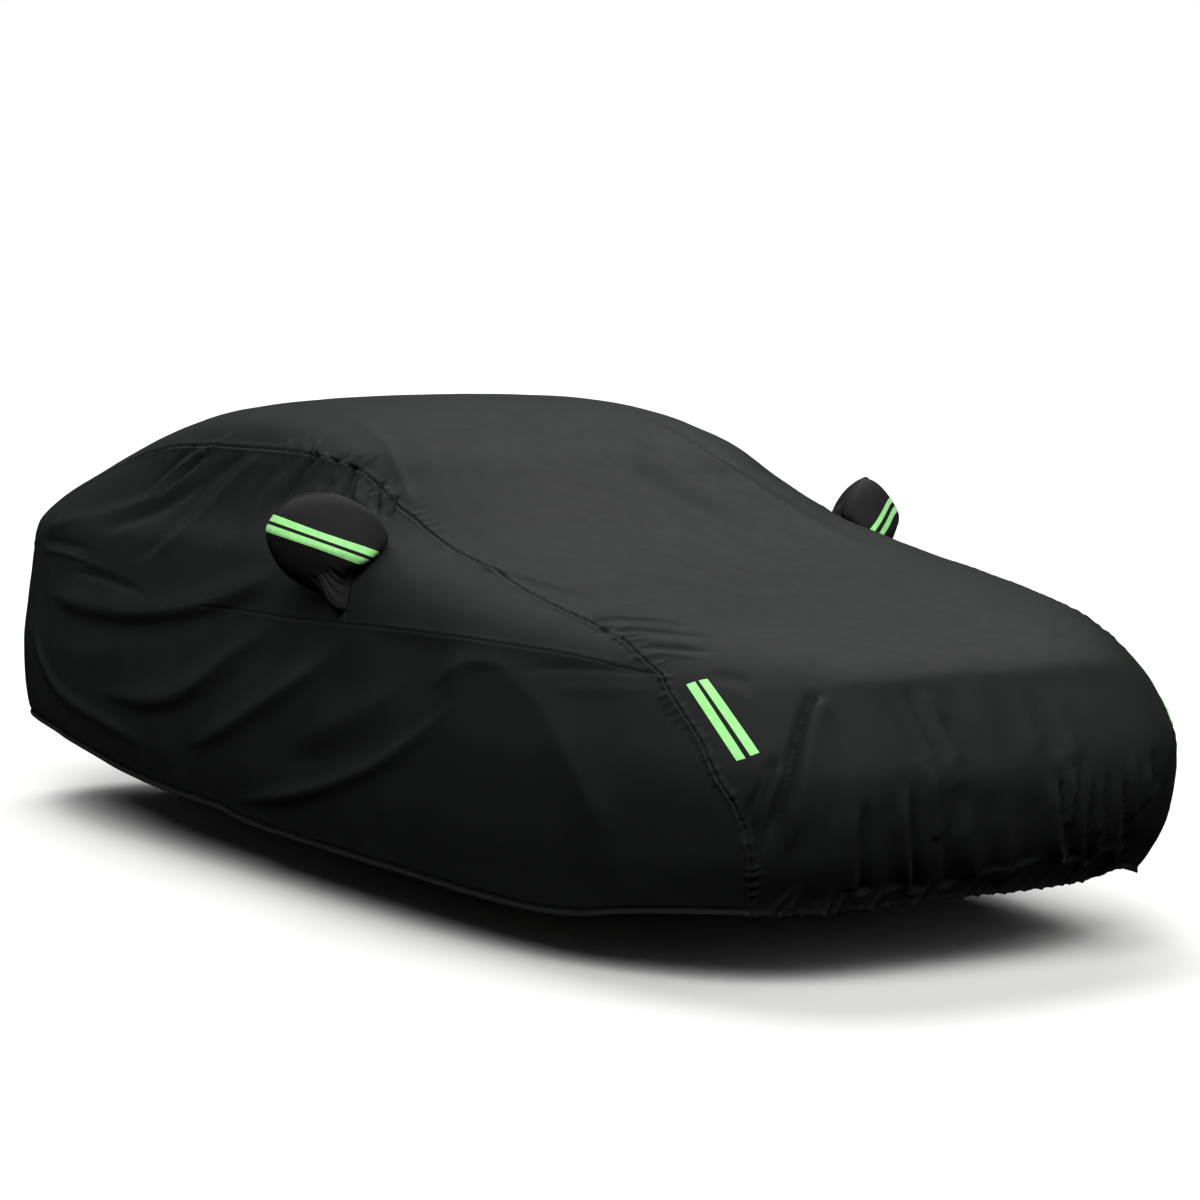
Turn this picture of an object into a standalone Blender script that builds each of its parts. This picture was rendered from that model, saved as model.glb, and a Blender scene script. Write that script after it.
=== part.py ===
"""Fitted car cover, sewn from cloth panels and drawn in the shape that it takes in use.

Tables are in metres, x forward from near the middle of its length and z above the ground;
every object is shifted so that the origin is the mount under the roof cloth.
"""
import bmesh
import bpy
import numpy as np
from mathutils import Vector
from mathutils.bvhtree import BVHTree

# ---- driving dimensions (metres) ----
CLOTH = 0.002                 # thickness of the sewn cloth
SEAM_CLEAR = 0.00045          # distance each panel keeps from a seam line
BAND_THICK = 0.0008           # reflective tape
CORNER_TAPE_LIFT = 0.0012     # tape above the facets of the top panel
MOUTH_HALF = 0.038            # half width of the opening under a mirror pocket
COLLAR = 0.012                # the pocket stands this far out of its opening, and clears the panels by it
MOUTH_Z = (0.856, 1.062)      # lower and upper end of that opening
POCKET_CENTRE = (0.4457, 0.9284, 1.0407)
POCKET_HALF = (0.110, 0.1825, 0.1435)     # half depth, half length and half height
POCKET_TURN = (-0.270, -0.805)            # roll and sweep of the pocket, radians
POCKET_SQUARE = (2.05, 2.6, 0.25)
# planes of the pocket tapes: their tilts, how far their fronts lean up, and roll, radians; and their
# clearance above a pocket's facets and the round surface that they follow
TAPE_PLANES = {-1: ((0.101, -0.088), 0.121, -0.310, (0.0014, 0.0017)),
               1: ((-0.228, -0.472), 0.777, -0.182, (0.0010, 0.0014))}
LEFT_TAPE_TURN = 0.10           # the left corner tapes sit this much further round, radians
ROOF_MOUNT = (-0.45, 1.44)                # x and z of the mount before the shift

# ---- grid cells ----
N_FRONT, N_BONNET, N_DOOR, N_REAR = 7, 12, 7, 13   # along the top seam, front hem to tail
N_ABOVE, N_MOUTH, N_UNDER = 1, 5, 1                # down the slanting seam
N_ACROSS = 14
N_TAIL = N_FRONT + N_ABOVE + N_MOUTH + N_UNDER

# height, front end, rear end, half width, squareness of the front and of the rear corners
BODY = (
    (0.020, 2.080, -2.300, 0.900, 3.73, 4.45),
    (0.120, 2.140, -2.330, 0.925, 3.73, 4.45),
    (0.220, 2.210, -2.380, 0.948, 3.73, 4.50),
    (0.360, 2.317, -2.443, 0.973, 3.72, 4.60),
    (0.550, 2.371, -2.479, 0.974, 3.88, 4.59),
    (0.700, 2.289, -2.476, 0.954, 3.90, 4.59),
    (0.800, 2.158, -2.459, 0.938, 3.98, 4.61),
    (0.880, 1.919, -2.445, 0.922, 4.24, 4.63),
    (0.950, 1.559, -2.431, 0.902, 4.25, 4.64),
    (1.000, 1.275, -2.414, 0.882, 4.02, 4.37),
    (1.080, 0.939, -2.277, 0.828, 3.77, 4.19),
    (1.190, 0.667, -1.957, 0.775, 3.36, 3.80),
    (1.296, 0.417, -1.590, 0.725, 3.06, 3.46),
    (1.382, 0.065, -1.182, 0.623, 2.71, 3.15),
    (1.427, -0.202, -0.766, 0.408, 2.30, 2.66),
    (1.442, -0.452, -0.452, 0.001, 2.12, 2.41),
)

# seams of one side as x, z; the y of each point is found on the form
TOP_SEAM = {
    "front": ((2.082, 0.197), (2.124, 0.268), (2.160, 0.337), (2.176, 0.415), (2.174, 0.487), (2.150, 0.545),
              (2.094, 0.630), (2.010, 0.708), (1.912, 0.789)),
    "bonnet": ((1.912, 0.789), (1.836, 0.822), (1.746, 0.858), (1.617, 0.889), (1.489, 0.913), (1.246, 0.957),
               (1.038, 0.996), (0.808, 1.038), (0.639, 1.078), (0.524, 1.113), (0.433, 1.140)),
    "door": ((0.433, 1.140), (0.352, 1.170), (0.253, 1.207), (0.135, 1.243), (0.017, 1.263), (-0.096, 1.273),
             (-0.223, 1.279), (-0.390, 1.281)),
    "rear": ((-0.390, 1.281), (-0.688, 1.281), (-0.852, 1.277), (-1.050, 1.268), (-1.350, 1.228),
             (-1.620, 1.165), (-1.850, 1.090), (-2.020, 1.020), (-2.095, 0.960), (-2.130, 0.900)),
}
TAIL_SEAM = ((-2.130, 0.900), (-2.145, 0.700), (-2.140, 0.550), (-2.110, 0.400), (-2.075, 0.308))
BELT_BACK = ((-0.402, 0.803), (-0.180, 0.811), (0.150, 0.812), (0.400, 0.817), (0.560, 0.822))
BELT_FRONT = ((0.560, 0.822), (0.800, 0.828), (1.140, 0.830), (1.437, 0.824), (1.635, 0.815), (1.780, 0.801),
              (1.912, 0.789))
SLANT_SEAM = ((0.433, 1.140), (0.458, 1.070), (0.474, 0.980), (0.502, 0.910), (0.534, 0.860), (0.560, 0.822))
DOOR_SEAM_HIGH = ((-0.390, 1.281), (-0.392, 1.159), (-0.374, 1.078), (-0.368, 0.980), (-0.398, 0.854),
                  (-0.402, 0.803))
DOOR_SEAM_LOW = ((-0.402, 0.803), (-0.385, 0.700), (-0.381, 0.618), (-0.376, 0.497), (-0.400, 0.332),
                 (-0.410, 0.197))
HEM_REAR = ((-0.410, 0.197), (-0.620, 0.203), (-0.814, 0.212), (-1.021, 0.227), (-1.237, 0.252),
            (-1.371, 0.267), (-1.549, 0.285), (-1.747, 0.302), (-2.075, 0.308))
HEM_SIDE = ((-0.410, 0.197), (-0.276, 0.192), (-0.056, 0.171), (0.136, 0.167), (0.495, 0.162), (0.823, 0.159),
            (1.067, 0.151), (1.209, 0.146), (1.341, 0.142), (1.473, 0.140), (1.638, 0.148), (1.786, 0.172),
            (1.946, 0.190), (2.082, 0.197))
# direction in which the top panel is thrown outward from its seam: station fraction, degrees above forward
TOP_THROW = ((0, 0), (7, 0), (8, 30), (9, 55), (10, 70), (12, 84), (16, 89), (24, 90), (31, 92), (35, 105),
             (37, 130), (38, 158), (39, 180))

# main folds: height of the ridge (minus is a trough), half width, step (one side sunk), then points x, y, z
FOLDS = (
    (0.016, 0.060, 0.0, ((-2.02, -0.84, 0.88), (-1.81, -0.89, 0.81), (-1.58, -0.92, 0.77),
                         (-1.29, -0.94, 0.745), (-0.91, -0.95, 0.745), (-0.51, -0.94, 0.779),
                         (-0.22, -0.93, 0.824), (0.05, -0.91, 0.93))),
    (0.018, 0.060, 0.0, ((-1.25, -0.97, 0.50), (-1.07, -0.97, 0.48), (-0.72, -0.98, 0.488),
                         (-0.47, -0.98, 0.527), (-0.25, -0.97, 0.596), (-0.08, -0.96, 0.676),
                         (0.15, -0.94, 0.789))),
    (0.014, 0.055, 0.0, ((-0.45, -0.97, 0.40), (-0.36, -0.98, 0.43), (-0.07, -0.98, 0.52),
                         (0.21, -0.97, 0.597), (0.49, -0.95, 0.733))),
    (0.014, 0.055, 0.0, ((-0.20, -0.95, 0.235), (-0.08, -0.95, 0.248), (0.40, -0.97, 0.334),
                         (0.67, -0.98, 0.397), (0.91, -0.97, 0.493), (1.14, -0.95, 0.608))),
    (0.009, 0.045, 0.0, ((0.60, -0.98, 0.38), (0.75, -0.97, 0.44), (1.02, -0.96, 0.556),
                         (1.25, -0.93, 0.685))),
    (0.004, 0.050, 0.018, ((1.16, -0.93, 0.70), (1.24, -0.92, 0.755), (1.34, -0.90, 0.768),
                           (1.43, -0.89, 0.752), (1.57, -0.89, 0.697), (1.66, -0.89, 0.627),
                           (1.74, -0.88, 0.551), (1.80, -0.87, 0.452), (1.86, -0.85, 0.371))),
    (-0.012, 0.050, 0.0, ((-2.10, -0.80, 0.895), (-1.80, -0.87, 0.885), (-1.48, -0.91, 0.868),
                          (-1.07, -0.93, 0.828))),
    (0.012, 0.050, 0.0, ((-2.16, -0.80, 0.68), (-2.14, -0.82, 0.58), (-2.10, -0.84, 0.50),
                         (-2.00, -0.87, 0.42))),
    (0.014, 0.060, 0.0, ((-0.75, -0.75, 1.24), (-1.00, -0.80, 1.13), (-1.25, -0.84, 1.04),
                         (-1.50, -0.88, 0.96))),
    (-0.012, 0.050, 0.0, ((-1.05, -0.75, 1.22), (-1.35, -0.80, 1.11), (-1.70, -0.84, 1.00),
                          (-1.95, -0.84, 0.95))),
    (0.010, 0.045, 0.0, ((2.14, -0.56, 0.79), (2.182, -0.46, 0.772), (2.203, -0.31, 0.774),
                         (2.204, -0.05, 0.777), (2.205, 0.22, 0.775), (2.16, 0.54, 0.76))),
    (0.012, 0.035, 0.0, ((2.18, -0.46, 0.76), (2.26, -0.51, 0.66), (2.29, -0.55, 0.50), (2.25, -0.56, 0.38))),
    (0.010, 0.035, 0.0, ((2.20, -0.60, 0.62), (2.24, -0.62, 0.52), (2.25, -0.65, 0.42))),
    (0.009, 0.035, 0.0, ((2.28, -0.39, 0.70), (2.34, -0.41, 0.55), (2.28, -0.39, 0.32))),
    (0.010, 0.040, 0.0, ((2.29, -0.24, 0.70), (2.36, -0.25, 0.55), (2.29, -0.26, 0.32))),
    (0.008, 0.035, 0.0, ((2.29, -0.02, 0.70), (2.37, -0.02, 0.55), (2.30, -0.03, 0.30))),
    (0.010, 0.040, 0.0, ((2.29, 0.17, 0.70), (2.37, 0.18, 0.55), (2.30, 0.19, 0.30))),
    (0.010, 0.040, 0.0, ((2.27, 0.38, 0.70), (2.34, 0.39, 0.55), (2.28, 0.41, 0.30))),
    # the cloth hangs out fuller round the left front corner
    (0.034, 0.150, 0.0, ((1.877, 0.800, 0.72), (2.013, 0.790, 0.60), (2.020, 0.775, 0.42), (1.901, 0.760, 0.24),
                         (1.754, 0.745, 0.06))),
    (0.034, 0.150, 0.0, ((2.028, 0.785, 0.48), (2.014, 0.778, 0.42), (1.901, 0.760, 0.24), (1.754, 0.745, 0.06))),
    # the far side, the roof and the tail
    (0.015, 0.060, 0.0, ((-2.00, 0.84, 0.86), (-1.62, 0.92, 0.74), (-1.10, 0.95, 0.70), (-0.55, 0.94, 0.76),
                         (0.02, 0.92, 0.90))),
    (0.016, 0.060, 0.0, ((-1.45, 0.96, 0.56), (-0.95, 0.97, 0.46), (-0.42, 0.98, 0.53), (0.20, 0.95, 0.76))),
    (0.013, 0.055, 0.0, ((-0.15, 0.96, 0.26), (0.38, 0.97, 0.32), (0.85, 0.97, 0.47), (1.22, 0.94, 0.68))),
    (0.004, 0.050, -0.016, ((1.14, 0.93, 0.69), (1.30, 0.91, 0.765), (1.46, 0.89, 0.745), (1.66, 0.89, 0.62),
                            (1.79, 0.87, 0.46), (1.85, 0.85, 0.36))),
    (0.012, 0.055, 0.0, ((-0.85, 0.76, 1.22), (-1.20, 0.82, 1.07), (-1.55, 0.88, 0.93))),
    (0.012, 0.050, 0.0, ((-2.44, -0.42, 0.86), (-2.47, -0.36, 0.60), (-2.42, -0.33, 0.32))),
    (0.010, 0.050, 0.0, ((-2.45, 0.12, 0.86), (-2.48, 0.10, 0.58), (-2.42, 0.14, 0.32))),
    (0.012, 0.050, 0.0, ((-2.44, 0.50, 0.84), (-2.46, 0.46, 0.56), (-2.40, 0.44, 0.32))),
    (0.010, 0.060, 0.0, ((1.00, 0.62, 1.02), (0.78, 0.44, 1.12), (0.56, 0.30, 1.22), (0.36, 0.20, 1.31))),
)

MATERIALS = {
    "cover_cloth": ((0.011, 0.011, 0.012), 0.55),
    "pocket_cloth": ((0.011, 0.011, 0.012), 0.55),
    "reflective_tape": ((0.33, 0.95, 0.24), 0.40),
}


def blend(a, b, c, d, f):
    """A smooth curve between b and c, f of the way along."""
    cubic = (3 * b - a - 3 * c + d) * f ** 3
    return 0.5 * (2 * b + (c - a) * f + (2 * a - 5 * b + 4 * c - d) * f ** 2 + cubic)


def spline(points, count):
    """Points spaced evenly along a smooth curve through the given ones."""
    p = np.array(points, float)
    p = np.vstack([2 * p[0] - p[1], p, 2 * p[-1] - p[-2]])
    t = np.linspace(0, len(p) - 3, 60 * (len(p) - 3) + 1)
    i = np.minimum(t.astype(int), len(p) - 4)
    f = (t - i)[:, None]
    a, b, c, d = p[i], p[i + 1], p[i + 2], p[i + 3]
    fine = blend(a, b, c, d, f)
    run = np.concatenate([[0], np.cumsum(np.linalg.norm(np.diff(fine, axis=0), axis=1))])
    at = np.linspace(0, run[-1], count + 1)
    return np.stack([np.interp(at, run, fine[:, k]) for k in range(p.shape[1])], 1)


def level_table():
    """The rows of BODY, made fine; a last row mirrors the one below the top, so the roof is flat there."""
    p = np.array(BODY)
    z, front, rear, half, kf, kr = p[-2]
    p = np.vstack([2 * p[0] - p[1], p, (z, rear, front, -half, kf, kr)])
    t = np.linspace(0, len(p) - 3, 1600)
    i = np.minimum(t.astype(int), len(p) - 4)
    f = (t - i)[:, None]
    a, b, c, d = p[i], p[i + 1], p[i + 2], p[i + 3]
    return blend(a, b, c, d, f)


LEVELS = level_table()


def outside(p):
    """Above zero outside the form under the cloth, below it inside."""
    front, rear, half, kf, kr = (np.interp(p[..., 2], LEVELS[:, 0], LEVELS[:, k]) for k in range(1, 6))
    middle, reach = (front + rear) / 2, np.maximum((front - rear) / 2, 1e-4)
    k = np.where(p[..., 0] > middle, kf, kr)
    value = (np.abs((p[..., 0] - middle) / reach) ** k + np.abs(p[..., 1] / np.maximum(half, 1e-4)) ** k) - 1
    return np.where(p[..., 2] > LEVELS[-1, 0], 1 + 50 * (p[..., 2] - LEVELS[-1, 0]), value)


def throw(start, direction, reach=1.2):
    """Where lines from inside the form leave it."""
    near, far = np.zeros(start.shape[:-1]), np.full(start.shape[:-1], reach)
    for _ in range(36):
        half = (near + far) / 2
        inside = outside(start + half[..., None] * direction) < 0
        near, far = np.where(inside, half, near), np.where(inside, far, half)
    return start + near[..., None] * direction


def side_point(xz, side):
    """Points of one side, given by x and z."""
    start = np.stack([xz[..., 0], np.zeros(xz.shape[:-1]), xz[..., 1]], -1)
    return throw(start, np.broadcast_to(np.array([0, side, 0.0]), start.shape))


def normals(p):
    step = 0.003
    grad = np.stack([outside(p + step * e) - outside(p - step * e) for e in np.eye(3)], -1)
    return grad / np.linalg.norm(grad, axis=-1, keepdims=True)


def relief(p, n):
    """Height of the cloth over the form, from the table of folds."""
    flat, normal = p.reshape(-1, 3), n.reshape(-1, 3)
    total = np.zeros(len(flat))
    for height, width, step, points in FOLDS:
        line = spline(points, 24)
        low, high = line.min(0) - 3 * width, line.max(0) + 3 * width
        near = np.where(((flat > low) & (flat < high)).all(1))[0]
        if not len(near):
            continue
        q = flat[near, None, :]
        a, b = line[:-1], line[1:]
        t = np.clip(((q - a) * (b - a)).sum(-1) / ((b - a) ** 2).sum(-1), 0, 1)
        foot = a + t[..., None] * (b - a)
        gap = np.linalg.norm(q - foot, axis=-1)
        best = gap.argmin(1)
        rows = np.arange(len(near))
        along = (best + t[rows, best]) / len(a)
        fade = np.clip(np.minimum(along, 1 - along) / 0.22, 0, 1)
        fade = fade * fade * (3 - 2 * fade)
        away = gap[rows, best] / width
        total[near] += height * fade * np.exp(-away ** 2)
        if step:
            cross = np.cross(normal[near], (b - a)[best])
            side = np.sign(((flat[near] - foot[rows, best]) * cross).sum(1)) * np.sign(step)
            sunk = (1 - np.exp(-away ** 2)) * np.exp(-(away / 4) ** 2)
            total[near] -= abs(step) * fade * np.where(side < 0, sunk, 0)
    return total.reshape(p.shape[:-1])


def coons(top, bottom, left, right):
    """A grid between four edges; top and bottom run left to right, left and right run downward."""
    u = np.linspace(0, 1, len(top))[None, :, None]
    v = np.linspace(0, 1, len(left))[:, None, None]
    ruled = (1 - v) * top[None] + v * bottom[None] + (1 - u) * left[:, None] + u * right[:, None]
    corners = (1 - v) * ((1 - u) * top[0] + u * top[-1]) + v * ((1 - u) * bottom[0] + u * bottom[-1])
    return ruled - corners


def drawn_in(grid, edges):
    """The grid with the named edges drawn back from their seams."""
    out = grid.copy()
    places = {"top": (np.s_[0], np.s_[1]), "bottom": (np.s_[-1], np.s_[-2]),
              "left": (np.s_[:, 0], np.s_[:, 1]), "right": (np.s_[:, -1], np.s_[:, -2])}
    for name in edges:
        edge, inner = places[name]
        move = grid[inner] - grid[edge]
        out[edge] += SEAM_CLEAR * move / np.maximum(np.linalg.norm(move, axis=-1, keepdims=True), 1e-6)
    return out


def material(slot):
    found = bpy.data.materials.get(slot)
    if found:
        return found
    colour, roughness = MATERIALS[slot]
    made = bpy.data.materials.new(slot)
    made.use_nodes = True
    shader = made.node_tree.nodes["Principled BSDF"]
    shader.inputs["Base Color"].default_value = (*colour, 1)
    shader.inputs["Roughness"].default_value = roughness
    return made


def solid(name, slot, outer, inner, closed=False):
    """A closed solid of cloth from its outer and inner grids; closed joins the last column to the first."""
    rows, columns = outer.shape[:2]
    count = rows * columns
    at = np.arange(count).reshape(rows, columns)
    if closed:
        at = np.hstack([at, at[:, :1]])
    faces = []
    for i in range(rows - 1):
        for j in range(at.shape[1] - 1):
            a, b, c, d = at[i, j], at[i, j + 1], at[i + 1, j + 1], at[i + 1, j]
            faces += [(a, b, c, d), (d + count, c + count, b + count, a + count)]
    rim = [(at[0, j], at[0, j + 1]) for j in range(at.shape[1] - 1)]
    rim += [(at[-1, j + 1], at[-1, j]) for j in range(at.shape[1] - 1)]
    if not closed:
        rim += [(at[i + 1, 0], at[i, 0]) for i in range(rows - 1)]
        rim += [(at[i, -1], at[i + 1, -1]) for i in range(rows - 1)]
    faces += [(b, a, a + count, b + count) for a, b in rim]
    points = np.vstack([outer.reshape(-1, 3), inner.reshape(-1, 3)])
    points = points - np.array([ROOF_MOUNT[0], 0, ROOF_MOUNT[1]])
    mesh = bpy.data.meshes.new(name)
    mesh.from_pydata([tuple(p) for p in points], [], [tuple(int(v) for v in f) for f in faces])
    mesh.materials.append(material(slot))
    finish(mesh)
    made = bpy.data.objects.new(name, mesh)
    bpy.context.scene.collection.objects.link(made)
    return made


def finish(mesh):
    """Merges what a corner brought together, splits every face into triangles and turns them outward."""
    work = bmesh.new()
    work.from_mesh(mesh)
    bmesh.ops.remove_doubles(work, verts=work.verts, dist=0.00005)
    bmesh.ops.dissolve_degenerate(work, edges=work.edges, dist=0.00005)
    bmesh.ops.triangulate(work, faces=work.faces)
    bmesh.ops.recalc_face_normals(work, faces=work.faces)
    work.to_mesh(mesh)
    work.free()


def panel(name, base, edges):
    """One cloth panel: its grid on the form, lifted by the folds, with its thickness inward."""
    n = normals(base)
    lift = relief(base, n)[..., None]
    outer = drawn_in(base + n * lift, edges)
    return solid(name, "cover_cloth", outer, outer - n * CLOTH)


def seam_lines():
    """The seams shared by the panels of a side, as x and z."""
    parts = (("front", N_FRONT), ("bonnet", N_BONNET), ("door", N_DOOR), ("rear", N_REAR))
    top = {name: spline(TOP_SEAM[name], n) for name, n in parts}
    slant = spline(SLANT_SEAM, 200)
    z = np.concatenate([np.linspace(SLANT_SEAM[0][1], MOUTH_Z[1], N_ABOVE + 1)[:-1],
                        np.linspace(MOUTH_Z[1], MOUTH_Z[0], N_MOUTH + 1),
                        np.linspace(MOUTH_Z[0], SLANT_SEAM[-1][1], N_UNDER + 1)[1:]])
    x = np.interp(-z, -slant[:, 1], slant[:, 0])
    part = np.clip((z - MOUTH_Z[0]) / (MOUTH_Z[1] - MOUTH_Z[0]), 0, 1)
    spread = MOUTH_HALF * np.sqrt(np.maximum(np.sin(np.pi * part), 0))
    return top, np.stack([x, z], 1), spread


def build_side(side):
    """The four panels of one side; side is -1 for the right and 1 for the left."""
    hand = "right" if side < 0 else "left"
    top, slant, spread = seam_lines()
    down = N_ABOVE + N_MOUTH + N_UNDER
    open_by = np.stack([spread, 0 * spread], 1)
    door_high, door_low = spline(DOOR_SEAM_HIGH, down), spline(DOOR_SEAM_LOW, N_FRONT)
    belt_back, belt_front = spline(BELT_BACK, N_DOOR), spline(BELT_FRONT, N_BONNET)
    tail = spline(TAIL_SEAM, N_TAIL)
    grids = {
        "window_panel": coons(top["door"][::-1], belt_back, door_high, slant - open_by),
        "fender_panel": coons(top["bonnet"][::-1], belt_front, slant + open_by,
                              np.repeat(belt_front[-1:], down + 1, 0)),
        "lower_side_panel": coons(np.vstack([belt_back, belt_front[1:]]), spline(HEM_SIDE, N_DOOR + N_BONNET),
                                  door_low, top["front"][::-1]),
        "rear_side_panel": coons(top["rear"][::-1], spline(HEM_REAR, N_REAR)[::-1], tail,
                                 np.vstack([door_high, door_low[1:]])),
    }
    for name, grid in grids.items():
        edges = ["top", "left", "right"] + (["bottom"] if name in ("window_panel", "fender_panel") else [])
        panel(f"{name}_{hand}", side_point(grid, side), edges)
    back, front = (slant - open_by)[N_ABOVE:-N_UNDER - 1], (slant + open_by)[N_ABOVE + 1:-N_UNDER]
    return hand, side_point(np.vstack([back, front[::-1]]), side)


def pocket_reach(direction, side):
    """Distance from the middle of a mirror pocket to its cloth, for unit directions."""
    roll, sweep = POCKET_TURN
    x, y, z = direction[..., 0], direction[..., 1] * -side, direction[..., 2]
    x, y = np.cos(sweep) * x + np.sin(sweep) * y, -np.sin(sweep) * x + np.cos(sweep) * y
    y, z = np.cos(roll) * y + np.sin(roll) * z, -np.sin(roll) * y + np.cos(roll) * z
    square, rim, ridge = POCKET_SQUARE
    depth, y, z = (np.abs(part) / half for part, half in zip((x, y, z), POCKET_HALF))
    return ((depth + ridge * z) ** rim + (y ** square + z ** square) ** (rim / square)) ** (-1 / rim)


def unit(v):
    return v / np.linalg.norm(v, axis=-1, keepdims=True)


def bag(rim, collar, centre, side, per_edge, turns):
    """Rings of a mirror pocket from the rim of its opening to its tip, with the outward directions."""
    t = np.arange(per_edge)[None, :, None] / per_edge
    rim, ring = ((r[:, None] * (1 - t) + np.roll(r, -1, 0)[:, None] * t).reshape(-1, 3)
                 for r in (rim, collar))
    start = ring - centre
    reach, first = np.linalg.norm(start, axis=1), unit(start)
    tip = unit(-first.mean(0))
    angle = np.arccos(np.clip(first @ tip, -1, 1))
    turn = np.array(turns)[:, None, None]
    angle = angle[:, None]
    way = (np.sin((1 - turn) * angle) * first + np.sin(turn * angle) * tip) / np.sin(angle)
    blend = np.minimum(turn[..., 0] / 0.20, 1)
    blend = blend * blend * (3 - 2 * blend)
    outer = centre + way * ((1 - blend) * reach + blend * pocket_reach(way, side))[..., None]
    beside = np.abs(side_point(outer[..., [0, 2]], side)[..., 1]) + COLLAR
    outer[1:, :, 1] = side * np.maximum(np.abs(outer[1:, :, 1]), beside[1:])
    outer = np.concatenate([rim[None], outer])
    around = np.roll(outer, -1, 1) - np.roll(outer, 1, 1)
    around[-1] = around[-2]
    facing = unit(np.cross(np.gradient(outer, axis=0), around))
    away = outer - centre
    away[:2] = outer[:2] - rim.mean(0)
    facing *= np.sign((facing * away).sum(-1, keepdims=True))
    facing[-1] = tip
    return outer, facing


def build_pocket(hand, rim, side):
    """A mirror pocket: a bag that starts inside the rim of the opening between two panels."""
    centre = np.array(POCKET_CENTRE) * np.array([1, side, 1])
    n = normals(rim)
    rim = rim + n * relief(rim, n)[..., None]
    middle = rim.mean(0)
    inward = unit(middle - rim)
    rim = rim + inward * 2 * SEAM_CLEAR
    collar = rim + n * COLLAR + inward * COLLAR / 3
    outer, facing = bag(rim, collar, centre, side, 2, (0, 0.10, 0.20, 0.35, 0.51, 0.67, 0.84, 1))
    pocket = solid(f"mirror_pocket_{hand}", "pocket_cloth", outer, outer - facing * CLOTH, closed=True)
    pocket_tapes(hand, pocket, bag(rim, collar, centre, side, 8, np.linspace(0, 0.97, 60))[0], centre, side)


def facets(made):
    """A search tree over the triangles of an object."""
    made.data.calc_loop_triangles()
    return BVHTree.FromPolygons([v.co.copy() for v in made.data.vertices],
                                [tuple(t.vertices) for t in made.data.loop_triangles])


def tape(name, trees, starts, aims, lift):
    """A strip of tape: lines thrown onto the cloth, stopped short of it by the tape's clearance."""
    shift = np.array([ROOF_MOUNT[0], 0, ROOF_MOUNT[1]])
    outer, inner = np.zeros_like(starts), np.zeros_like(starts)
    for i in np.ndindex(starts.shape[:2]):
        start, aim = Vector(starts[i] - shift), Vector(aims[i])
        run = min(tree.ray_cast(start, aim)[3] for tree in trees)
        inner[i] = np.array(start + aim * (run - lift)) + shift
        outer[i] = np.array(start + aim * (run - lift - BAND_THICK)) + shift
    return solid(name, "reflective_tape", outer, inner)


def pocket_tapes(hand, pocket, skin, centre, side):
    """Two tapes across the front of a mirror pocket, in planes through its middle tilted with it."""
    rows, columns = skin.shape[:2]
    at = np.arange(rows * columns).reshape(rows, columns)
    quads = np.stack([at[:-1], np.roll(at, -1, 1)[:-1], np.roll(at, -1, 1)[1:], at[1:]], -1).reshape(-1, 4)
    points = skin.reshape(-1, 3) - np.array([ROOF_MOUNT[0], 0, ROOF_MOUNT[1]])
    trees = (facets(pocket), BVHTree.FromPolygons([Vector(p) for p in points], quads.tolist()))
    tilts, lean, roll, lifts = TAPE_PLANES[side]
    sweep = POCKET_TURN[1]
    for number, (tilt, lift) in enumerate(zip(tilts, lifts), 1):
        turn = np.radians(np.linspace(-100, 76, 24))[None, :]
        rise = np.linspace(tilt + 0.055, tilt - 0.055, 2)[:, None] + lean * np.cos(turn)
        x, y, z = np.cos(turn) * np.cos(rise), np.sin(turn) * np.cos(rise), np.sin(rise)
        x, y, z = x * POCKET_HALF[0], y * POCKET_HALF[1], z * 0.16
        y, z = np.cos(roll) * y - np.sin(roll) * z, np.sin(roll) * y + np.cos(roll) * z
        x, y = np.cos(sweep) * x - np.sin(sweep) * y, np.sin(sweep) * x + np.cos(sweep) * y
        way = unit(np.stack([x, -side * y, z], -1))
        tape(f"pocket_tape_{number}_{hand}", trees, centre + way * 0.5, -way, lift)


# corners of the two tapes beside the front corner: x, y, z of the lower and upper ends
CORNER_TAPES = (
    (((2.172, -0.687, 0.598), (2.185, -0.669, 0.604)), ((1.985, -0.712, 0.768), (1.998, -0.695, 0.776))),
    (((2.192, -0.660, 0.610), (2.204, -0.642, 0.618)), ((2.003, -0.688, 0.779), (2.016, -0.671, 0.784))),
)


def corner_tapes(hand, cover, side):
    """Two tapes beside the front corner, laid on the facets of the top panel; the left ones sit further round."""
    bend = LEFT_TAPE_TURN if side > 0 else 0
    turn = np.array([[np.cos(bend), np.sin(bend), 0], [-np.sin(bend), np.cos(bend), 0], [0, 0, 1]])
    trees = (facets(cover),)
    for number, (low, high) in enumerate(CORNER_TAPES, 1):
        low, high = np.array(low), np.array(high)
        t = np.linspace(0, 1, 15)[None, :, None]
        w = np.linspace(0, 1, 2)[:, None, None]
        flat = (1 - t) * ((1 - w) * low[0] + w * low[1]) + t * ((1 - w) * high[0] + w * high[1])
        flat = flat * np.array([1, -side, 1])
        heart = np.array([1.75, 0.35 * side, 0.45])
        base = throw(np.broadcast_to(heart, flat.shape), unit((flat - heart) @ turn))
        n = normals(base)
        tape(f"corner_tape_{number}_{hand}", trees, base + n * 0.1, -n, CORNER_TAPE_LIFT)


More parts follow.
